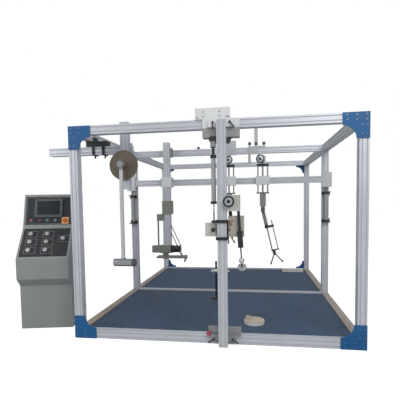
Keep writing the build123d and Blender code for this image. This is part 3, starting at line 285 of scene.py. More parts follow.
# Heights between which a piece has another colour, and two such stretches along X
floor_rails = (-0.01, 0.081)
pendulum_hub = (1.60, 1.72)
station_yoke = (1.736, 1.770)
station_flange = (1.386, 1.405)
load_cell = (1.226, 1.386)
clevis = (1.13, 1.205)
actuator_eye = (1.125, 1.20)
actuator_clamp = (0.90, 0.985)
fork_bridge = (0.60, 0.67)
fork_tips = (0.40, 0.545)
rod_over_ball = (0.801, 1.2)
tongue_under_ball = (0.60, 0.751)
trolley_cylinder_head = (1.655, 1.75)
trolley_cylinder_foot = (1.26, 1.286)
lift_cylinder_foot = (1.00, 1.041)
lift_cylinder_head = (1.364, 1.405)
station_2_knobs = (2.030, 2.068)
trolley_wedge = (1.78, 1.8405)
trolley_box = (1.8405, 1.9215)
lower_carriage = (0.03, 0.17)
gearbox = (1.199, 1.40)
motor_end = (-0.745, -0.4)
hammer_cap = (-0.795, -0.7)

# Boxes with another colour on the load carriage
load_box = (("x", 0.161, 0.40), ("z", 0.97, 1.158))
load_plate = (("x", -0.10, 0.066), ("z", 0.97, 1.0985))
load_plate_edge = (("x", 0.0, 0.066), ("y", -1.84, -1.748), ("z", 0.97, 1.0985))

profile_look = dict(colour=(208, 212, 220), rough=0.40, metal=0.35, mottle=0.05, wear=0.35,
                    wear_colour=(232, 234, 238))
profile_x = finish("profile_drawn_x", lines="x", **profile_look)
profile_y = finish("profile_drawn_y", lines="y",
                   zones=(band(floor_rails, (168, 152, 132), 0.2, 0.5),), **profile_look)
profile_z = finish("profile_drawn_z", lines="z", **profile_look)
blue_plate = finish("blue_plate_paint", (8, 92, 150), rough=0.5, mottle=0.1, wear=0.5,
                    wear_colour=(110, 150, 180), dusty=0.1)
floor_laminate = finish("floor_laminate", (44, 76, 108), rough=0.55, mottle=0.22, mottle_scale=1.6,
                        grain_scale=260, grain_depth=0.25, wear=0.5, wear_colour=(110, 124, 140),
                        dusty=0.08)
machined = finish("machined_aluminium", (205, 207, 210), rough=0.34, metal=0.7, lines="x", line_depth=0.15,
                  wear=0.4)
plate_steel = finish("drilled_plate_steel", (198, 201, 208), rough=0.38, metal=0.6, lines="x", mottle=0.08)
rod_steel = finish("ground_rod_steel", (150, 154, 158), rough=0.28, metal=0.75, mottle=0.08, wear=0.2)
tube_grey = finish("pendulum_tube_grey", (204, 206, 210), rough=0.4, metal=0.3, mottle=0.06, wear=0.3,
                   zones=(band(pendulum_hub, (150, 152, 156), 0.4, 0.4),))
head_steel = finish("station_head_steel", (132, 137, 139), rough=0.34, metal=0.5, mottle=0.1, wear=0.4,
                    zones=(band(station_yoke, (40, 42, 46), 0.1, 0.4),
                           band(station_flange, (118, 122, 124), 0.4, 0.4),
                           band(load_cell, (146, 151, 150), 0.3, 0.45),
                           band(clevis, (96, 100, 104), 0.3, 0.4)))
actuator_grey = finish("actuator_grey", (140, 148, 148), rough=0.4, metal=0.35, mottle=0.1, wear=0.5,
                       zones=(band(actuator_eye, (72, 76, 80), 0.2, 0.4),
                              band(actuator_clamp, (40, 42, 48), 0.1, 0.4)))
fork_steel = finish("fork_steel", (118, 122, 124), rough=0.36, metal=0.5, mottle=0.1, wear=0.5,
                    zones=(band(fork_bridge, (70, 72, 76), 0.2, 0.4),
                           band(fork_tips, (84, 88, 92), 0.4, 0.4)))
load_rod_steel = finish("load_rod_steel", (206, 208, 212), rough=0.3, metal=0.6, mottle=0.06, wear=0.2,
                        zones=(band(rod_over_ball, (58, 62, 66), 0.5, 0.35),
                               band(tongue_under_ball, (34, 32, 38), 0.0, 0.4)))
trolley_cylinder = finish("trolley_cylinder_grey", (168, 172, 174), rough=0.35, metal=0.45, mottle=0.08,
                          wear=0.3,
                          zones=(band(trolley_cylinder_head, (44, 46, 50), 0.1, 0.4),
                                 band(trolley_cylinder_foot, (40, 42, 46), 0.1, 0.4)))
lift_grey = finish("lift_cylinder_grey", (170, 174, 176), rough=0.36, metal=0.4, mottle=0.08, wear=0.4,
                   zones=(band(lift_cylinder_foot, (52, 54, 58), 0.1, 0.4),
                          band(lift_cylinder_head, (52, 54, 58), 0.1, 0.4)))
station_2_plate = finish("station_2_plate_steel", (190, 193, 196), rough=0.38, metal=0.4, lines="x",
                         mottle=0.08, zones=(band(station_2_knobs, (44, 46, 52), 0.0, 0.4),))
trolley_plate = finish("trolley_plate_white", (226, 228, 230), rough=0.4, metal=0.1, mottle=0.05, wear=0.4,
                       zones=(band(trolley_wedge, (46, 48, 52), 0.0, 0.45),
                              band(trolley_box, (158, 160, 160), 0.1, 0.45),
                              band(lower_carriage, (150, 152, 154), 0.2, 0.45)))
pale_guard = finish("pale_guide_block", (222, 224, 228), rough=0.42, metal=0.2, mottle=0.05, wear=0.4)
olive = finish("olive_grey_paint", (138, 143, 132), rough=0.5, mottle=0.12, wear=0.55)
black_steel = finish("black_steel_paint", (38, 41, 46), rough=0.45, mottle=0.15, wear=0.5,
                     wear_colour=(120, 124, 130))
black_plastic = finish("black_moulding", (30, 32, 36), rough=0.4, mottle=0.1, wear=0.3,
                       wear_colour=(90, 92, 96))
grey_cylinder = finish("grey_cylinder_body", (150, 156, 150), rough=0.45, metal=0.25, mottle=0.12, wear=0.5,
                       zones=(band(motor_end, (52, 46, 56), 0.1, 0.4, axis="x"),))
bar_metal = finish("flat_bar_steel", (160, 162, 158), rough=0.4, metal=0.55, lines="x", mottle=0.12)
bronze = finish("dial_bronze", (128, 118, 106), rough=0.32, metal=0.55, mottle=0.2, mottle_scale=7,
                wear=0.4, coat=0.2)
hammer_metal = finish("hammer_turned_steel", (168, 172, 178), rough=0.35, metal=0.75, mottle=0.12,
                      zones=(band(hammer_cap, (92, 96, 104), 0.6, 0.4, axis="x"),))
load_grey = finish("load_unit_grey", (60, 62, 66), rough=0.45, metal=0.1, mottle=0.1, wear=0.5,
                   zones=(band(gearbox, (196, 196, 190), 0.1, 0.45),
                          (load_box, (186, 182, 172), 0.1, 0.45),
                          (load_plate, (214, 214, 207), 0.15, 0.42),
                          (load_plate_edge, (40, 42, 46), 0.0, 0.4)))
console_paint = finish("console_grey_paint", (146, 151, 152), rough=0.5, mottle=0.06, mottle_scale=2.5,
                       grain_scale=700, grain_depth=0.35, wear=0.5, wear_colour=(190, 192, 190))
panel_black = finish("panel_black_foil", (24, 28, 36), rough=0.5, mottle=0.12, wear=0.4,
                     wear_colour=(95, 98, 104), coat=0.15)
screen_grey = finish("screen_frame_grey", (84, 88, 94), rough=0.4, mottle=0.08, wear=0.4)
yellow_label = finish("yellow_label_plate", (236, 170, 110), rough=0.45, mottle=0.08, wear=0.3)
button_look = dict(mottle=0.08, wear=0.0, coat=0.5, dusty=0.0)
stop_red = finish("stop_red_orange", (214, 92, 40), rough=0.28, **button_look)
reset_red = finish("button_pink_red", (170, 76, 96), rough=0.25, **button_look)
dark_red = finish("button_dark_red", (104, 34, 50), rough=0.25, **button_look)
start_green = finish("button_green", (72, 142, 126), rough=0.25, **button_look)
step_green = finish("button_grey_green", (112, 138, 128), rough=0.25, **button_look)
knob_silver = finish("knob_spun_aluminium", (206, 208, 210), rough=0.3, metal=0.65, mottle=0.06, wear=0.3)
tan_pad = finish("pad_tan_rubber", (196, 182, 162), rough=0.6, mottle=0.12, grain_scale=400,
                 grain_depth=0.4, wear=0.0)
pale_paint = finish("pale_bar_paint", (228, 228, 222), rough=0.45, mottle=0.06, wear=0.5,
                    wear_colour=(140, 140, 140))
pad_metal = finish("pad_turned_metal", (196, 199, 204), rough=0.34, metal=0.5, mottle=0.08, wear=0.3)

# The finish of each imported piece
looks = (
    (profile_x, ("cross_beams", "crossbeam", "pendulum_arm")),
    (profile_y, ("side_rails",)),
    (profile_z, ("posts", "impact_column", "pendulum_column", "trolley_column")),
    (blue_plate, ("corner_plates",)),
    (floor_laminate, ("floor_panels",)),
    (machined, ("crossbeam_brackets",)),
    (trolley_cylinder, ("trolley_lift_cylinder",)),
    (lift_grey, ("lift_cylinders",)),
    (rod_steel, ("lift_rods",)),
    (head_steel, ("station_1_head", "station_2_head")),
    (tube_grey, ("pendulum",)),
    (actuator_grey, ("station_2_actuator",)),
    (fork_steel, ("station_2_fork",)),
    (load_rod_steel, ("load_rod",)),
    (pale_guard, ("impact_guide", "station_1_guide", "station_2_guide")),
    (olive, ("impact_carriage", "impact_head")),
    (plate_steel, ("station_1_carriage",)),
    (station_2_plate, ("station_2_carriage",)),
    (trolley_plate, ("trolley_carriages",)),
    (black_steel, ("pendulum_hanger", "carriage_straps", "load_cylinder", "stop_stand")),
    (load_grey, ("load_carriage",)),
    (black_plastic, ("station_1_handwheel", "station_2_handwheel", "carriage_handwheel")),
    (grey_cylinder, ("push_cylinder",)),
    (bar_metal, ("push_bar",)),
    (bronze, ("angle_dial",)),
    (hammer_metal, ("hammer",)),
    (console_paint, ("console_cabinet",)),
    (panel_black, ("console_panels",)),
    (screen_grey, ("touch_screen",)),
    (yellow_label, ("emergency_stop_plate",)),
    (stop_red, ("emergency_stop_button",)),
    (reset_red, ("reset_button",)),
    (dark_red, ("stop_button",)),
    (start_green, ("start_button",)),
    (step_green, ("step_button",)),
    (tan_pad, ("spare_pad",)),
    (pale_paint, ("stop_crossbar", "spare_bar")),
    (pad_metal, ("load_pad",)),
    (knob_silver, tuple("control_knob_%d" % number for number in range(1, 8))),
)
for material, names in looks:
    for name in names:
        for place in nodes[name].material_slots:
            place.material = material

# Meshes of the fittings

def add_block(mesh, low, high):
    """A block of the mesh in hand between two corners."""
    low, high = Vector(low), Vector(high)
    centre = (low + high) / 2
    size = high - low
    bmesh.ops.create_cube(mesh, size=1.0, matrix=Matrix.Translation(centre) @ Matrix.Diagonal((*size, 1.0)))


def axes_round(axis):
    """A direction made one long, and two directions square to it and to each other."""
    axis = Vector(axis).normalized()
    across = axis.orthogonal().normalized()
    return axis, across, axis.cross(across)


def add_ring(mesh, centre, across, other, radii):
    """A ring of vertices, with one radius for each."""
    ring = []
    for side, radius in enumerate(radii):
        turn = 2 * math.pi * side / len(radii)
        ring.append(mesh.verts.new(centre + (across * math.cos(turn) + other * math.sin(turn)) * radius))
    return ring


def join_rings(mesh, pairs):
    """Faces between the two rings of each pair."""
    for first, second in pairs:
        for side in range(len(first)):
            following = (side + 1) % len(first)
            mesh.faces.new((first[side], first[following], second[following], second[side]))


def lathe(mesh, start, axis, outline, sides=28):
    """A turned form: rings of (distance along the axis, radius), closed at both ends."""
    axis, across, other = axes_round(axis)
    rings = [add_ring(mesh, Vector(start) + axis * along, across, other, [radius] * sides)
             for along, radius in outline]
    join_rings(mesh, zip(rings, rings[1:]))
    mesh.faces.new(rings[0])
    mesh.faces.new(rings[-1])


def star_knob(mesh, start, axis, radius, height, lobes=5):
    """A lobed clamping knob on a short stem."""
    axis, across, other = axes_round(axis)
    stem = radius * 0.4
    lobe_height = 0.09
    sides = lobes * 8
    lathe(mesh, start, axis, ((0, stem), (height * 0.5, stem)))
    rings = []
    for along, share in ((0.4, 0.9), (0.5, 1.0), (0.9, 1.0), (1.0, 0.88)):
        turns = [2 * math.pi * side / sides for side in range(sides)]
        radii = [radius * share * (1 + lobe_height * math.cos(lobes * turn)) for turn in turns]
        rings.append(add_ring(mesh, Vector(start) + axis * height * along, across, other, radii))
    join_rings(mesh, zip(rings, rings[1:]))
    mesh.faces.new(rings[0])
    mesh.faces.new(rings[-1])


def clamp_lever(mesh, start, out, along, length):
    """A clamping lever: a hub standing out of the face and a tapered handle that leans from it."""
    out = Vector(out).normalized()
    along = Vector(along).normalized()
    lathe(mesh, start, out, ((0, 0.007), (0.004, 0.009), (0.018, 0.009), (0.020, 0.006)))
    handle = (along + out * 0.25).normalized()
    outline = ((0, 0.005), (0.3, 0.0045), (0.8, 0.0068), (0.97, 0.0062), (1.0, 0.003))
    lathe(mesh, Vector(start) + out * 0.012, handle,
          [(length * share, radius) for share, radius in outline])


def fitted(name, body, material, build, smooth=True):
    """Builds a fitting's mesh, gives it its finish and lets it ride on its body."""
    shape = bmesh.new()
    build(shape)
    bmesh.ops.recalc_face_normals(shape, faces=shape.faces)
    mesh = bpy.data.meshes.new(name)
    shape.to_mesh(mesh)
    shape.free()
    mesh.materials.append(material)
    if smooth:
        mesh.shade_smooth()
        mesh.set_sharp_from_angle(angle=math.radians(32))
    piece = bpy.data.objects.new(name, mesh)
    bpy.context.scene.collection.objects.link(piece)
    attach(piece, body)
    return piece


# Slot covers: pale strips pressed into the slots of the profile

profile = 0.080
half = profile / 2
cover_width = 0.0096
cover_sink = 0.0043
cover_thickness = 0.0007
cover_finish = finish("slot_cover_grey", (196, 200, 208), rough=0.5, mottle=0.05, wear=0.2)


def cover_strips(mesh, start, axis, length):
    """The eight cover strips of one length of profile, from the centre of its first end."""
    sides = [other for other in (0, 1, 2) if other != axis]
    for face_axis, slot_axis in (sides, sides[::-1]):
        for side in (-1, 1):
            for offset in (-profile / 4, profile / 4):
                low = list(start)
                high = list(start)
                high[axis] += length
                outer = side * (half - cover_sink)
                inner = side * (half - cover_sink - cover_thickness)
                low[face_axis] += min(outer, inner)
                high[face_axis] += max(outer, inner)
                low[slot_axis] += offset - cover_width / 2
                high[slot_axis] += offset + cover_width / 2
                add_block(mesh, low, high)


posts_low, posts_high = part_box("posts")
post_lines = (posts_low.x + half, posts_high.x - half)
frame_lines = (posts_low.y + half, 0.0, posts_high.y - half)
beam_heights = (half, posts_high.z - half)


def cage_covers(mesh):
    """Covers on the posts, beams and rails of the cage."""
    for y in frame_lines:
        for x in post_lines:
            cover_strips(mesh, (x, y, 0), 2, posts_high.z)
        for z in beam_heights:
            cover_strips(mesh, (post_lines[0] + half, y, z), 0, post_lines[1] - post_lines[0] - profile)
    for x in post_lines:
        for z in beam_heights:
            for first, last in zip(frame_lines, frame_lines[1:]):
                cover_strips(mesh, (x, first + half, z), 1, last - first - profile)


fitted("cage_slot_covers", "frame", cover_finish, cage_covers, smooth=False)


def bar_covers(node, axis):
    """Makes the function that covers the slots of a single bar."""
    low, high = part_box(node)

    def build(mesh):
        start = (low + high) / 2
        start[axis] = low[axis]
        cover_strips(mesh, start, axis, high[axis] - low[axis])
    return build


for node, body, axis in (("crossbeam", "crossbeam", 0), ("impact_column", "impact_column", 2),
                         ("pendulum_column", "pendulum_column", 2), ("trolley_column", "trolley", 2)):
    fitted(node + "_slot_covers", body, cover_finish, bar_covers(node, axis), smooth=False)

# Screws: one shared node group turns a cloud of points into socket-head screws

screw_steel = finish("zinc_screw_steel", (168, 172, 178), rough=0.3, metal=0.8, mottle=0.1, wear=0.0,
                     dusty=0.1)
screw_dark = finish("screw_socket_shadow", (26, 28, 32), rough=0.6, mottle=0.1, wear=0.0, dusty=0.0)


def build_screw_group():
    """Socket-head screws on points: a round head with a dark hexagon on it."""
    group = bpy.data.node_groups.new("screws_on_points", "GeometryNodeTree")
    group.interface.new_socket("Geometry", in_out="INPUT", socket_type="NodeSocketGeometry")
    for label, default in (("Radius", 0.005), ("Height", 0.003)):
        socket = group.interface.new_socket(label, in_out="INPUT", socket_type="NodeSocketFloat")
        socket.default_value = default
    group.interface.new_socket("Turn", in_out="INPUT", socket_type="NodeSocketVector")
    group.interface.new_socket("Geometry", in_out="OUTPUT", socket_type="NodeSocketGeometry")
    start = group.nodes.new("NodeGroupInput")
    end = group.nodes.new("NodeGroupOutput")
    join = group.nodes.new("GeometryNodeJoinGeometry")
    for share, lift, corners, material in ((1.0, 1.0, 24, screw_steel), (0.55, 1.12, 6, screw_dark)):
        head = group.nodes.new("GeometryNodeMeshCylinder")
        head.inputs["Vertices"].default_value = corners
        radius = math_node(group, "MULTIPLY", start.outputs["Radius"], share)
        depth = math_node(group, "MULTIPLY", start.outputs["Height"], 2 * lift)
        group.links.new(radius, head.inputs["Radius"])
        group.links.new(depth, head.inputs["Depth"])
        scatter = group.nodes.new("GeometryNodeInstanceOnPoints")
        group.links.new(start.outputs["Geometry"], scatter.inputs["Points"])
        group.links.new(head.outputs["Mesh"], scatter.inputs["Instance"])
        group.links.new(start.outputs["Turn"], scatter.inputs["Rotation"])
        real = group.nodes.new("GeometryNodeRealizeInstances")
        group.links.new(scatter.outputs["Instances"], real.inputs["Geometry"])
        dress = group.nodes.new("GeometryNodeSetMaterial")
        dress.inputs["Material"].default_value = material
        group.links.new(real.outputs["Geometry"], dress.inputs["Geometry"])
        group.links.new(dress.outputs["Geometry"], join.inputs["Geometry"])
    group.links.new(join.outputs["Geometry"], end.inputs["Geometry"])
    return group


screw_group = build_screw_group()
facing_y = (math.pi / 2, 0, 0)


def screws(name, body, points, turn, radius=0.005, height=0.003):
    """Screws on points, all turned by the same angles round X, Y and Z."""
    cloud = bpy.data.meshes.new(name + "_points")
    cloud.from_pydata([tuple(point) for point in points], [], [])
    holder = bpy.data.objects.new(name + "_holder", cloud)
    bpy.context.scene.collection.objects.link(holder)
    modifier = holder.modifiers.new("screws", "NODES")
    modifier.node_group = screw_group
    labels = {socket.name: socket.identifier for socket in screw_group.interface.items_tree
              if socket.in_out == "INPUT"}
    modifier[labels["Radius"]] = radius
    modifier[labels["Height"]] = height
    modifier[labels["Turn"]] = turn
    graph = bpy.context.evaluated_depsgraph_get()
    mesh = bpy.data.meshes.new_from_object(holder.evaluated_get(graph))
    mesh.name = name
    holder.modifiers.remove(modifier)
    bpy.data.objects.remove(holder)
    piece = bpy.data.objects.new(name, mesh)
    bpy.context.scene.collection.objects.link(piece)
    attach(piece, body)
    return piece


plates_low, plates_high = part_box("corner_plates")
plate_rows = (0.020, 0.060)
plate_steps = (0.028, 0.104, 0.180)
leg_start = 0.070
plate_places = []
for face in (plates_low.y, plates_high.y):
    for edge_x, into_x in ((plates_low.x, 1), (plates_high.x, -1)):
        for edge_z, into_z in ((plates_low.z, 1), (plates_high.z, -1)):
            for row in plate_rows:
                for step in plate_steps:
                    plate_places.append((edge_x + into_x * step, face, edge_z + into_z * row))
                    if step > leg_start:
                        plate_places.append((edge_x + into_x * row, face, edge_z + into_z * step))
screws("corner_plate_screws", "frame", plate_places, facing_y, radius=0.0045, height=0.0028)

# Fittings of the front trolley: screws, clamp levers and a red knob

column_low, column_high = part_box("trolley_column")
column_x = (column_low.x + column_high.x) / 2
plate_front = column_high.y
flange_places = [(x, z) for x in (-0.16, -0.02) for z in (2.022, 2.062)]
flange_places += [(x, 2.014) for x in (-0.215, 0.045, 0.062)]
lower_places = [(x, z) for x in (-0.125, 0.125) for z in (0.115, 0.150)]
screws("trolley_flange_screws", "trolley",
       [(column_x + x, plate_front, z) for x, z in flange_places + lower_places],
       facing_y, radius=0.006, height=0.003)


def trolley_levers(mesh):
    """Black levers beside the column, above and below."""
    clamp_depth = 0.025
    for x, z, lean in ((-0.075, 1.962, (0.05, 0, -1)), (0.072, 1.962, (0.75, 0, -1)),
                       (-0.085, 0.060, (-0.8, 0, -0.45)), (0.080, 0.062, (0.9, 0, -0.5))):
        clamp_lever(mesh, (column_x + x, plate_front - clamp_depth, z), -Y, lean, length=0.062)


fitted("trolley_clamp_levers", "trolley", black_plastic, trolley_levers)
red_plastic = finish("red_knob_plastic", (176, 70, 88), rough=0.4, mottle=0.1, wear=0.2, coat=0.2)


def red_knob(mesh):
    """A red knob on the left of the lower carriage."""
    star_knob(mesh, (column_x - 0.132, plate_front - 0.001, 0.105), -Y, radius=0.021, height=0.030)


fitted("trolley_red_knob", "trolley", red_plastic, red_knob)

# Handwheels, and the brass fittings and levers of the load carriage

load_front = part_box("load_carriage")[0].y
brass = finish("brass_fitting", (150, 118, 84), rough=0.35, metal=0.6, mottle=0.12, wear=0.3)


def wheel_hub(node):
    """Makes the function that caps a handwheel's hub."""
    low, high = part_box(node)

    def build(mesh):
        centre = (low + high) / 2
        lathe(mesh, (centre.x, low.y + 0.0005, centre.z), Y,
              ((0, 0.008), (0.001, 0.011), (0.010, 0.0115), (0.012, 0.0145), (0.0145, 0.0148)))
    return build


hub_grey = finish("handwheel_hub_grey", (190, 194, 206), rough=0.3, metal=0.5, mottle=0.08, wear=0.3)


def wheel_face(node):
    """Makes the function that gives a handwheel its pale dished face inside the rim."""
    low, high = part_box(node)

    def build(mesh):
        centre = (low + high) / 2
        outer = (high.x - low.x) / 2 - 0.013
        lathe(mesh, (centre.x, low.y + 0.0048, centre.z), -Y,
              ((0, outer), (0.001, outer), (0.002, 0.026), (0.0036, 0.018)), sides=40)
    return build


for node in ("station_1_handwheel", "station_2_handwheel", "carriage_handwheel"):
    fitted(node + "_face", node, hub_grey, wheel_face(node))
    fitted(node + "_hub", node, screw_steel, wheel_hub(node))


def load_levers(mesh):
    """Two levers under the load carriage."""
    for x, lean in ((0.052, (0.1, 0, -1)), (0.085, (0.55, 0, -1))):
        clamp_lever(mesh, (column_x + x, load_front + 0.045, 0.968), -Y, lean, length=0.050)


def load_brass(mesh):
    """Brass fittings in front of the right box."""
    front = column_low.y + 0.030
    for x, z, radius, reach in ((0.060, 1.105, 0.014, 0.022), (0.075, 1.085, 0.010, 0.026),
                                (0.062, 1.040, 0.010, 0.016), (0.088, 1.118, 0.008, 0.018)):
        neck = radius * 0.7
        outline = ((0, radius), (reach * 0.5, radius), (reach * 0.55, neck), (reach, neck))
        lathe(mesh, (column_x + x, front + 0.001, z), -Y, outline, sides=6)


fitted("load_carriage_levers", "load_carriage", black_plastic, load_levers)
fitted("load_carriage_fittings", "load_carriage", brass, load_brass)

# Dial bolts and pad rim

dial_low, dial_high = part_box("angle_dial")
dial_centre = (dial_low + dial_high) / 2
dial_bolt_places = ((-0.052, -0.006), (-0.02, -0.036), (0.04, -0.044), (0.0, 0.06))
screws("dial_bolts", "pendulum_column",
       [(dial_centre.x + x, dial_low.y, dial_centre.z + z) for x, z in dial_bolt_places],
       facing_y, radius=0.007, height=0.004)
spare_low, spare_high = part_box("spare_pad")
white_rim = finish("pad_white_rim", (226, 226, 222), rough=0.5, mottle=0.06, wear=0.3,
                   wear_colour=(150, 150, 150))


def pad_rim(mesh):
    """A white band round the pad's foot and edge."""
    centre = (spare_low + spare_high) / 2
    outer = (spare_high.y - spare_low.y) / 2
    outline = ((0, outer + 0.0008), (0.012, outer + 0.002), (0.024, outer + 0.002), (0.026, outer - 0.004))
    lathe(mesh, (centre.x, centre.y, spare_low.z + 0.001), Z, outline, sides=64)


fitted("spare_pad_rim", "frame", white_rim, pad_rim)

# Console: outlines and scales on the panels, button rings and the screen's glass

console_yaw = math.radians(12)
console_right = Vector((math.cos(console_yaw), math.sin(console_yaw), 0))
console_forward = Vector((math.sin(console_yaw), -math.cos(console_yaw), 0))
console_middle = Vector((-1.754, -1.490, 0))
console_half_width = 0.260
console_base = console_middle - console_right * console_half_width
panel_lift = 0.003
mark_thickness = 0.0003
mark_line = 0.0018
mark_size = 0.0024
scale_marks = 9
scale_start = -135
scale_swing = 270
scale_reach = 0.0275
ring_bore = 0.0124
ring_radius = 0.0165
ring_height = 0.004
knob_places = ((0.101, 0.281), (0.268, 0.280), (0.105, 0.188), (0.273, 0.187), (0.438, 0.224),
               (0.108, 0.092), (0.277, 0.092))
button_places = ((0.081, 0.076), (0.165, 0.076), (0.249, 0.076), (0.333, 0.076))


def slope_frame(forward, height, run, rise):
    """A sloping panel's origin, its direction across, up the slope and out of it."""
    out = (console_forward * rise + Z * run).normalized()
    up = (Z * rise - console_forward * run).normalized()
    return console_base + console_forward * forward + Z * height, console_right, up, out


lower_slope = slope_frame(forward=0.075, height=0.738, run=0.205, rise=0.302)
upper_slope = slope_frame(forward=-0.130, height=1.040, run=0.092, rise=0.350)


def slope_point(slope, across, up, out):
    """A point on a sloping panel."""
    return slope[0] + slope[1] * across + slope[2] * up + slope[3] * out


def slab(mesh, slope, left, bottom, width, height, start, thickness):
    """A thin slab on a sloping panel."""
    corners = []
    for out in (start, start + thickness):
        for across, up in ((0, 0), (width, 0), (width, height), (0, height)):
            corners.append(mesh.verts.new(slope_point(slope, left + across, bottom + up, out)))
    for face in ((0, 1, 2, 3), (4, 5, 6, 7), (0, 1, 5, 4), (1, 2, 6, 5), (2, 3, 7, 6), (3, 0, 4, 7)):
        mesh.faces.new([corners[index] for index in face])


def outline(mesh, slope, left, bottom, width, height, line, start, thickness):
    """A rectangular outline of four slabs."""
    slab(mesh, slope, left, bottom, width, line, start, thickness)
    slab(mesh, slope, left, bottom + height - line, width, line, start, thickness)
    slab(mesh, slope, left, bottom + line, line, height - 2 * line, start, thickness)
    slab(mesh, slope, left + width - line, bottom + line, line, height - 2 * line, start, thickness)


def panel_marks(mesh):
    """Pale outlines round the knobs with scale marks, and an outline round the buttons."""
    for across, up in knob_places:
        outline(mesh, lower_slope, across - 0.044, up - 0.036, 0.112, 0.072, mark_line, panel_lift,
                mark_thickness)
        for step in range(scale_marks):
            turn = math.radians(scale_start + scale_swing * step / (scale_marks - 1))
            left = across + math.sin(turn) * scale_reach - mark_size / 2
            bottom = up + math.cos(turn) * scale_reach - mark_size / 2
            slab(mesh, lower_slope, left, bottom, mark_size, mark_size, panel_lift, mark_thickness)
    outline(mesh, upper_slope, 0.034, 0.040, 0.452, 0.288, mark_line, panel_lift, mark_thickness)


def button_rings(mesh):
    """Bright rings round the push buttons."""
    for across, up in button_places:
        start = slope_point(upper_slope, across, up, panel_lift)
        lathe_ring(mesh, start, upper_slope[3], ring_bore, ring_radius, ring_height)


def lathe_ring(mesh, start, axis, inner, outer, height, sides=32):
    """A flat ring with a bevelled outer edge."""
    axis, across, other = axes_round(axis)
    section = ((0, inner), (0, outer), (height * 0.6, outer), (height, outer * 0.94), (height, inner))
    rings = [add_ring(mesh, start + axis * along, across, other, [radius] * sides)
             for along, radius in section]
    join_rings(mesh, zip(rings, rings[1:] + rings[:1]))


def screen_glass(mesh):
    """The dark glass in the screen's recess."""
    slab(mesh, upper_slope, left=0.1405, bottom=0.1345, width=0.239, height=0.150, start=0.0131,
         thickness=0.0012)


mark_paint = finish("panel_mark_paint", (170, 174, 176), rough=0.5, mottle=0.08, wear=0.0, dusty=0.0)
ring_metal = finish("button_ring_metal", (168, 170, 172), rough=0.3, metal=0.7, mottle=0.08, wear=0.3)
glass_dark = finish("screen_dark_glass", (34, 40, 42), rough=0.16, mottle=0.12, mottle_scale=9, wear=0.0,
                    coat=0.4, dusty=0.1)
fitted("console_panel_marks", "frame", mark_paint, panel_marks, smooth=False)
fitted("console_button_rings", "frame", ring_metal, button_rings)
fitted("console_screen_glass", "frame", glass_dark, screen_glass, smooth=False)

# The lone star knob on the middle top beam

beam_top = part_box("cross_beams")[1].z
beam_knob_x = -0.367


def beam_knob(mesh):
    """A black knob that stands on the middle top beam, between the impact unit and station 1."""
    star_knob(mesh, (beam_knob_x, 0, beam_top - 0.001), Z, radius=0.020, height=0.034)


fitted("middle_beam_knob", "frame", black_plastic, beam_knob)

# Camera at the photograph's viewing angle
camera_place = (0.3952, -4.8786, 1.2620)
camera_turn = (1.5093656, 0.0149144, 0.1531751)
camera_data = bpy.data.cameras.new("camera")
camera_data.lens = 32.374
camera_data.sensor_width = 36
camera_data.shift_y = 0.0658
camera = bpy.data.objects.new("camera", camera_data)
bpy.context.scene.collection.objects.link(camera)
camera.location = camera_place
camera.rotation_euler = camera_turn
bpy.context.scene.camera = camera

# Pale floor, plain soft light
scene = bpy.context.scene
scene.view_settings.view_transform = "Standard"


def seen_directly(tree):
    """The light path's outputs, and 1 for camera and transmission rays, which see the pale backdrop."""
    path = tree.nodes.new("ShaderNodeLightPath")
    direct = math_node(tree, "MAXIMUM", path.outputs["Is Camera Ray"], path.outputs["Is Transmission Ray"])
    return path.outputs, direct


world_strength = 0.40
glossy_world_change = -0.08
floor_reach = 30
floor_height = -0.001
floor_glow = 0.80
floor_glow_in_gloss = 0.3
floor_grey = (0.5, 0.5, 0.5, 1)

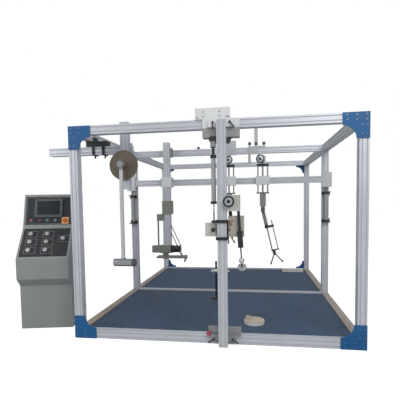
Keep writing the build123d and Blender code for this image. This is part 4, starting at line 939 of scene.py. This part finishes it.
world = bpy.data.worlds.new("studio")
scene.world = world
world.use_nodes = True
tree = world.node_tree
backdrop = tree.nodes["Background"]
backdrop.inputs["Color"].default_value = (1, 1, 1, 1)
rays, direct = seen_directly(tree)
soft = math_node(tree, "MULTIPLY_ADD", rays["Is Glossy Ray"], glossy_world_change, world_strength)
tree.links.new(math_node(tree, "MAXIMUM", direct, soft), backdrop.inputs["Strength"])

floor_mesh = bpy.data.meshes.new("studio_floor")
floor_corners = [(floor_reach * x, floor_reach * y, floor_height)
                 for x, y in ((-1, -1), (1, -1), (1, 1), (-1, 1))]
floor_mesh.from_pydata(floor_corners, [], [(0, 1, 2, 3)])
floor = bpy.data.objects.new("studio_floor", floor_mesh)
scene.collection.objects.link(floor)
floor_finish = bpy.data.materials.new("studio_floor_white")
floor_finish.use_nodes = True
tree = floor_finish.node_tree
tree.nodes.remove(tree.nodes["Principled BSDF"])
matt = tree.nodes.new("ShaderNodeBsdfDiffuse")
matt.inputs["Color"].default_value = floor_grey
glow = tree.nodes.new("ShaderNodeEmission")
rays, direct = seen_directly(tree)
mirrored = math_node(tree, "MULTIPLY", rays["Is Glossy Ray"], floor_glow_in_gloss)
lit = math_node(tree, "MAXIMUM", direct, mirrored)
tree.links.new(math_node(tree, "MULTIPLY", lit, floor_glow), glow.inputs["Strength"])
both = tree.nodes.new("ShaderNodeAddShader")
tree.links.new(matt.outputs[0], both.inputs[0])
tree.links.new(glow.outputs[0], both.inputs[1])
tree.links.new(both.outputs[0], tree.nodes["Material Output"].inputs["Surface"])
floor_mesh.materials.append(floor_finish)

for name, place, aim, size, power in (("key_softbox", (2.6, -6.0, 4.6), (0, 0, 0.8), 3.2, 170),
                                      ("fill_softbox", (-4.6, -4.4, 3.0), (0, 0, 0.9), 3.6, 80),
                                      ("top_softbox", (0.5, 1.2, 6.0), (0, 0, 0.5), 4.5, 80)):
    lamp = bpy.data.lights.new(name, "AREA")
    lamp.size = size
    lamp.energy = power
    holder = bpy.data.objects.new(name, lamp)
    holder.location = place
    holder.rotation_euler = (Vector(aim) - Vector(place)).to_track_quat("-Z", "Y").to_euler()
    scene.collection.objects.link(holder)
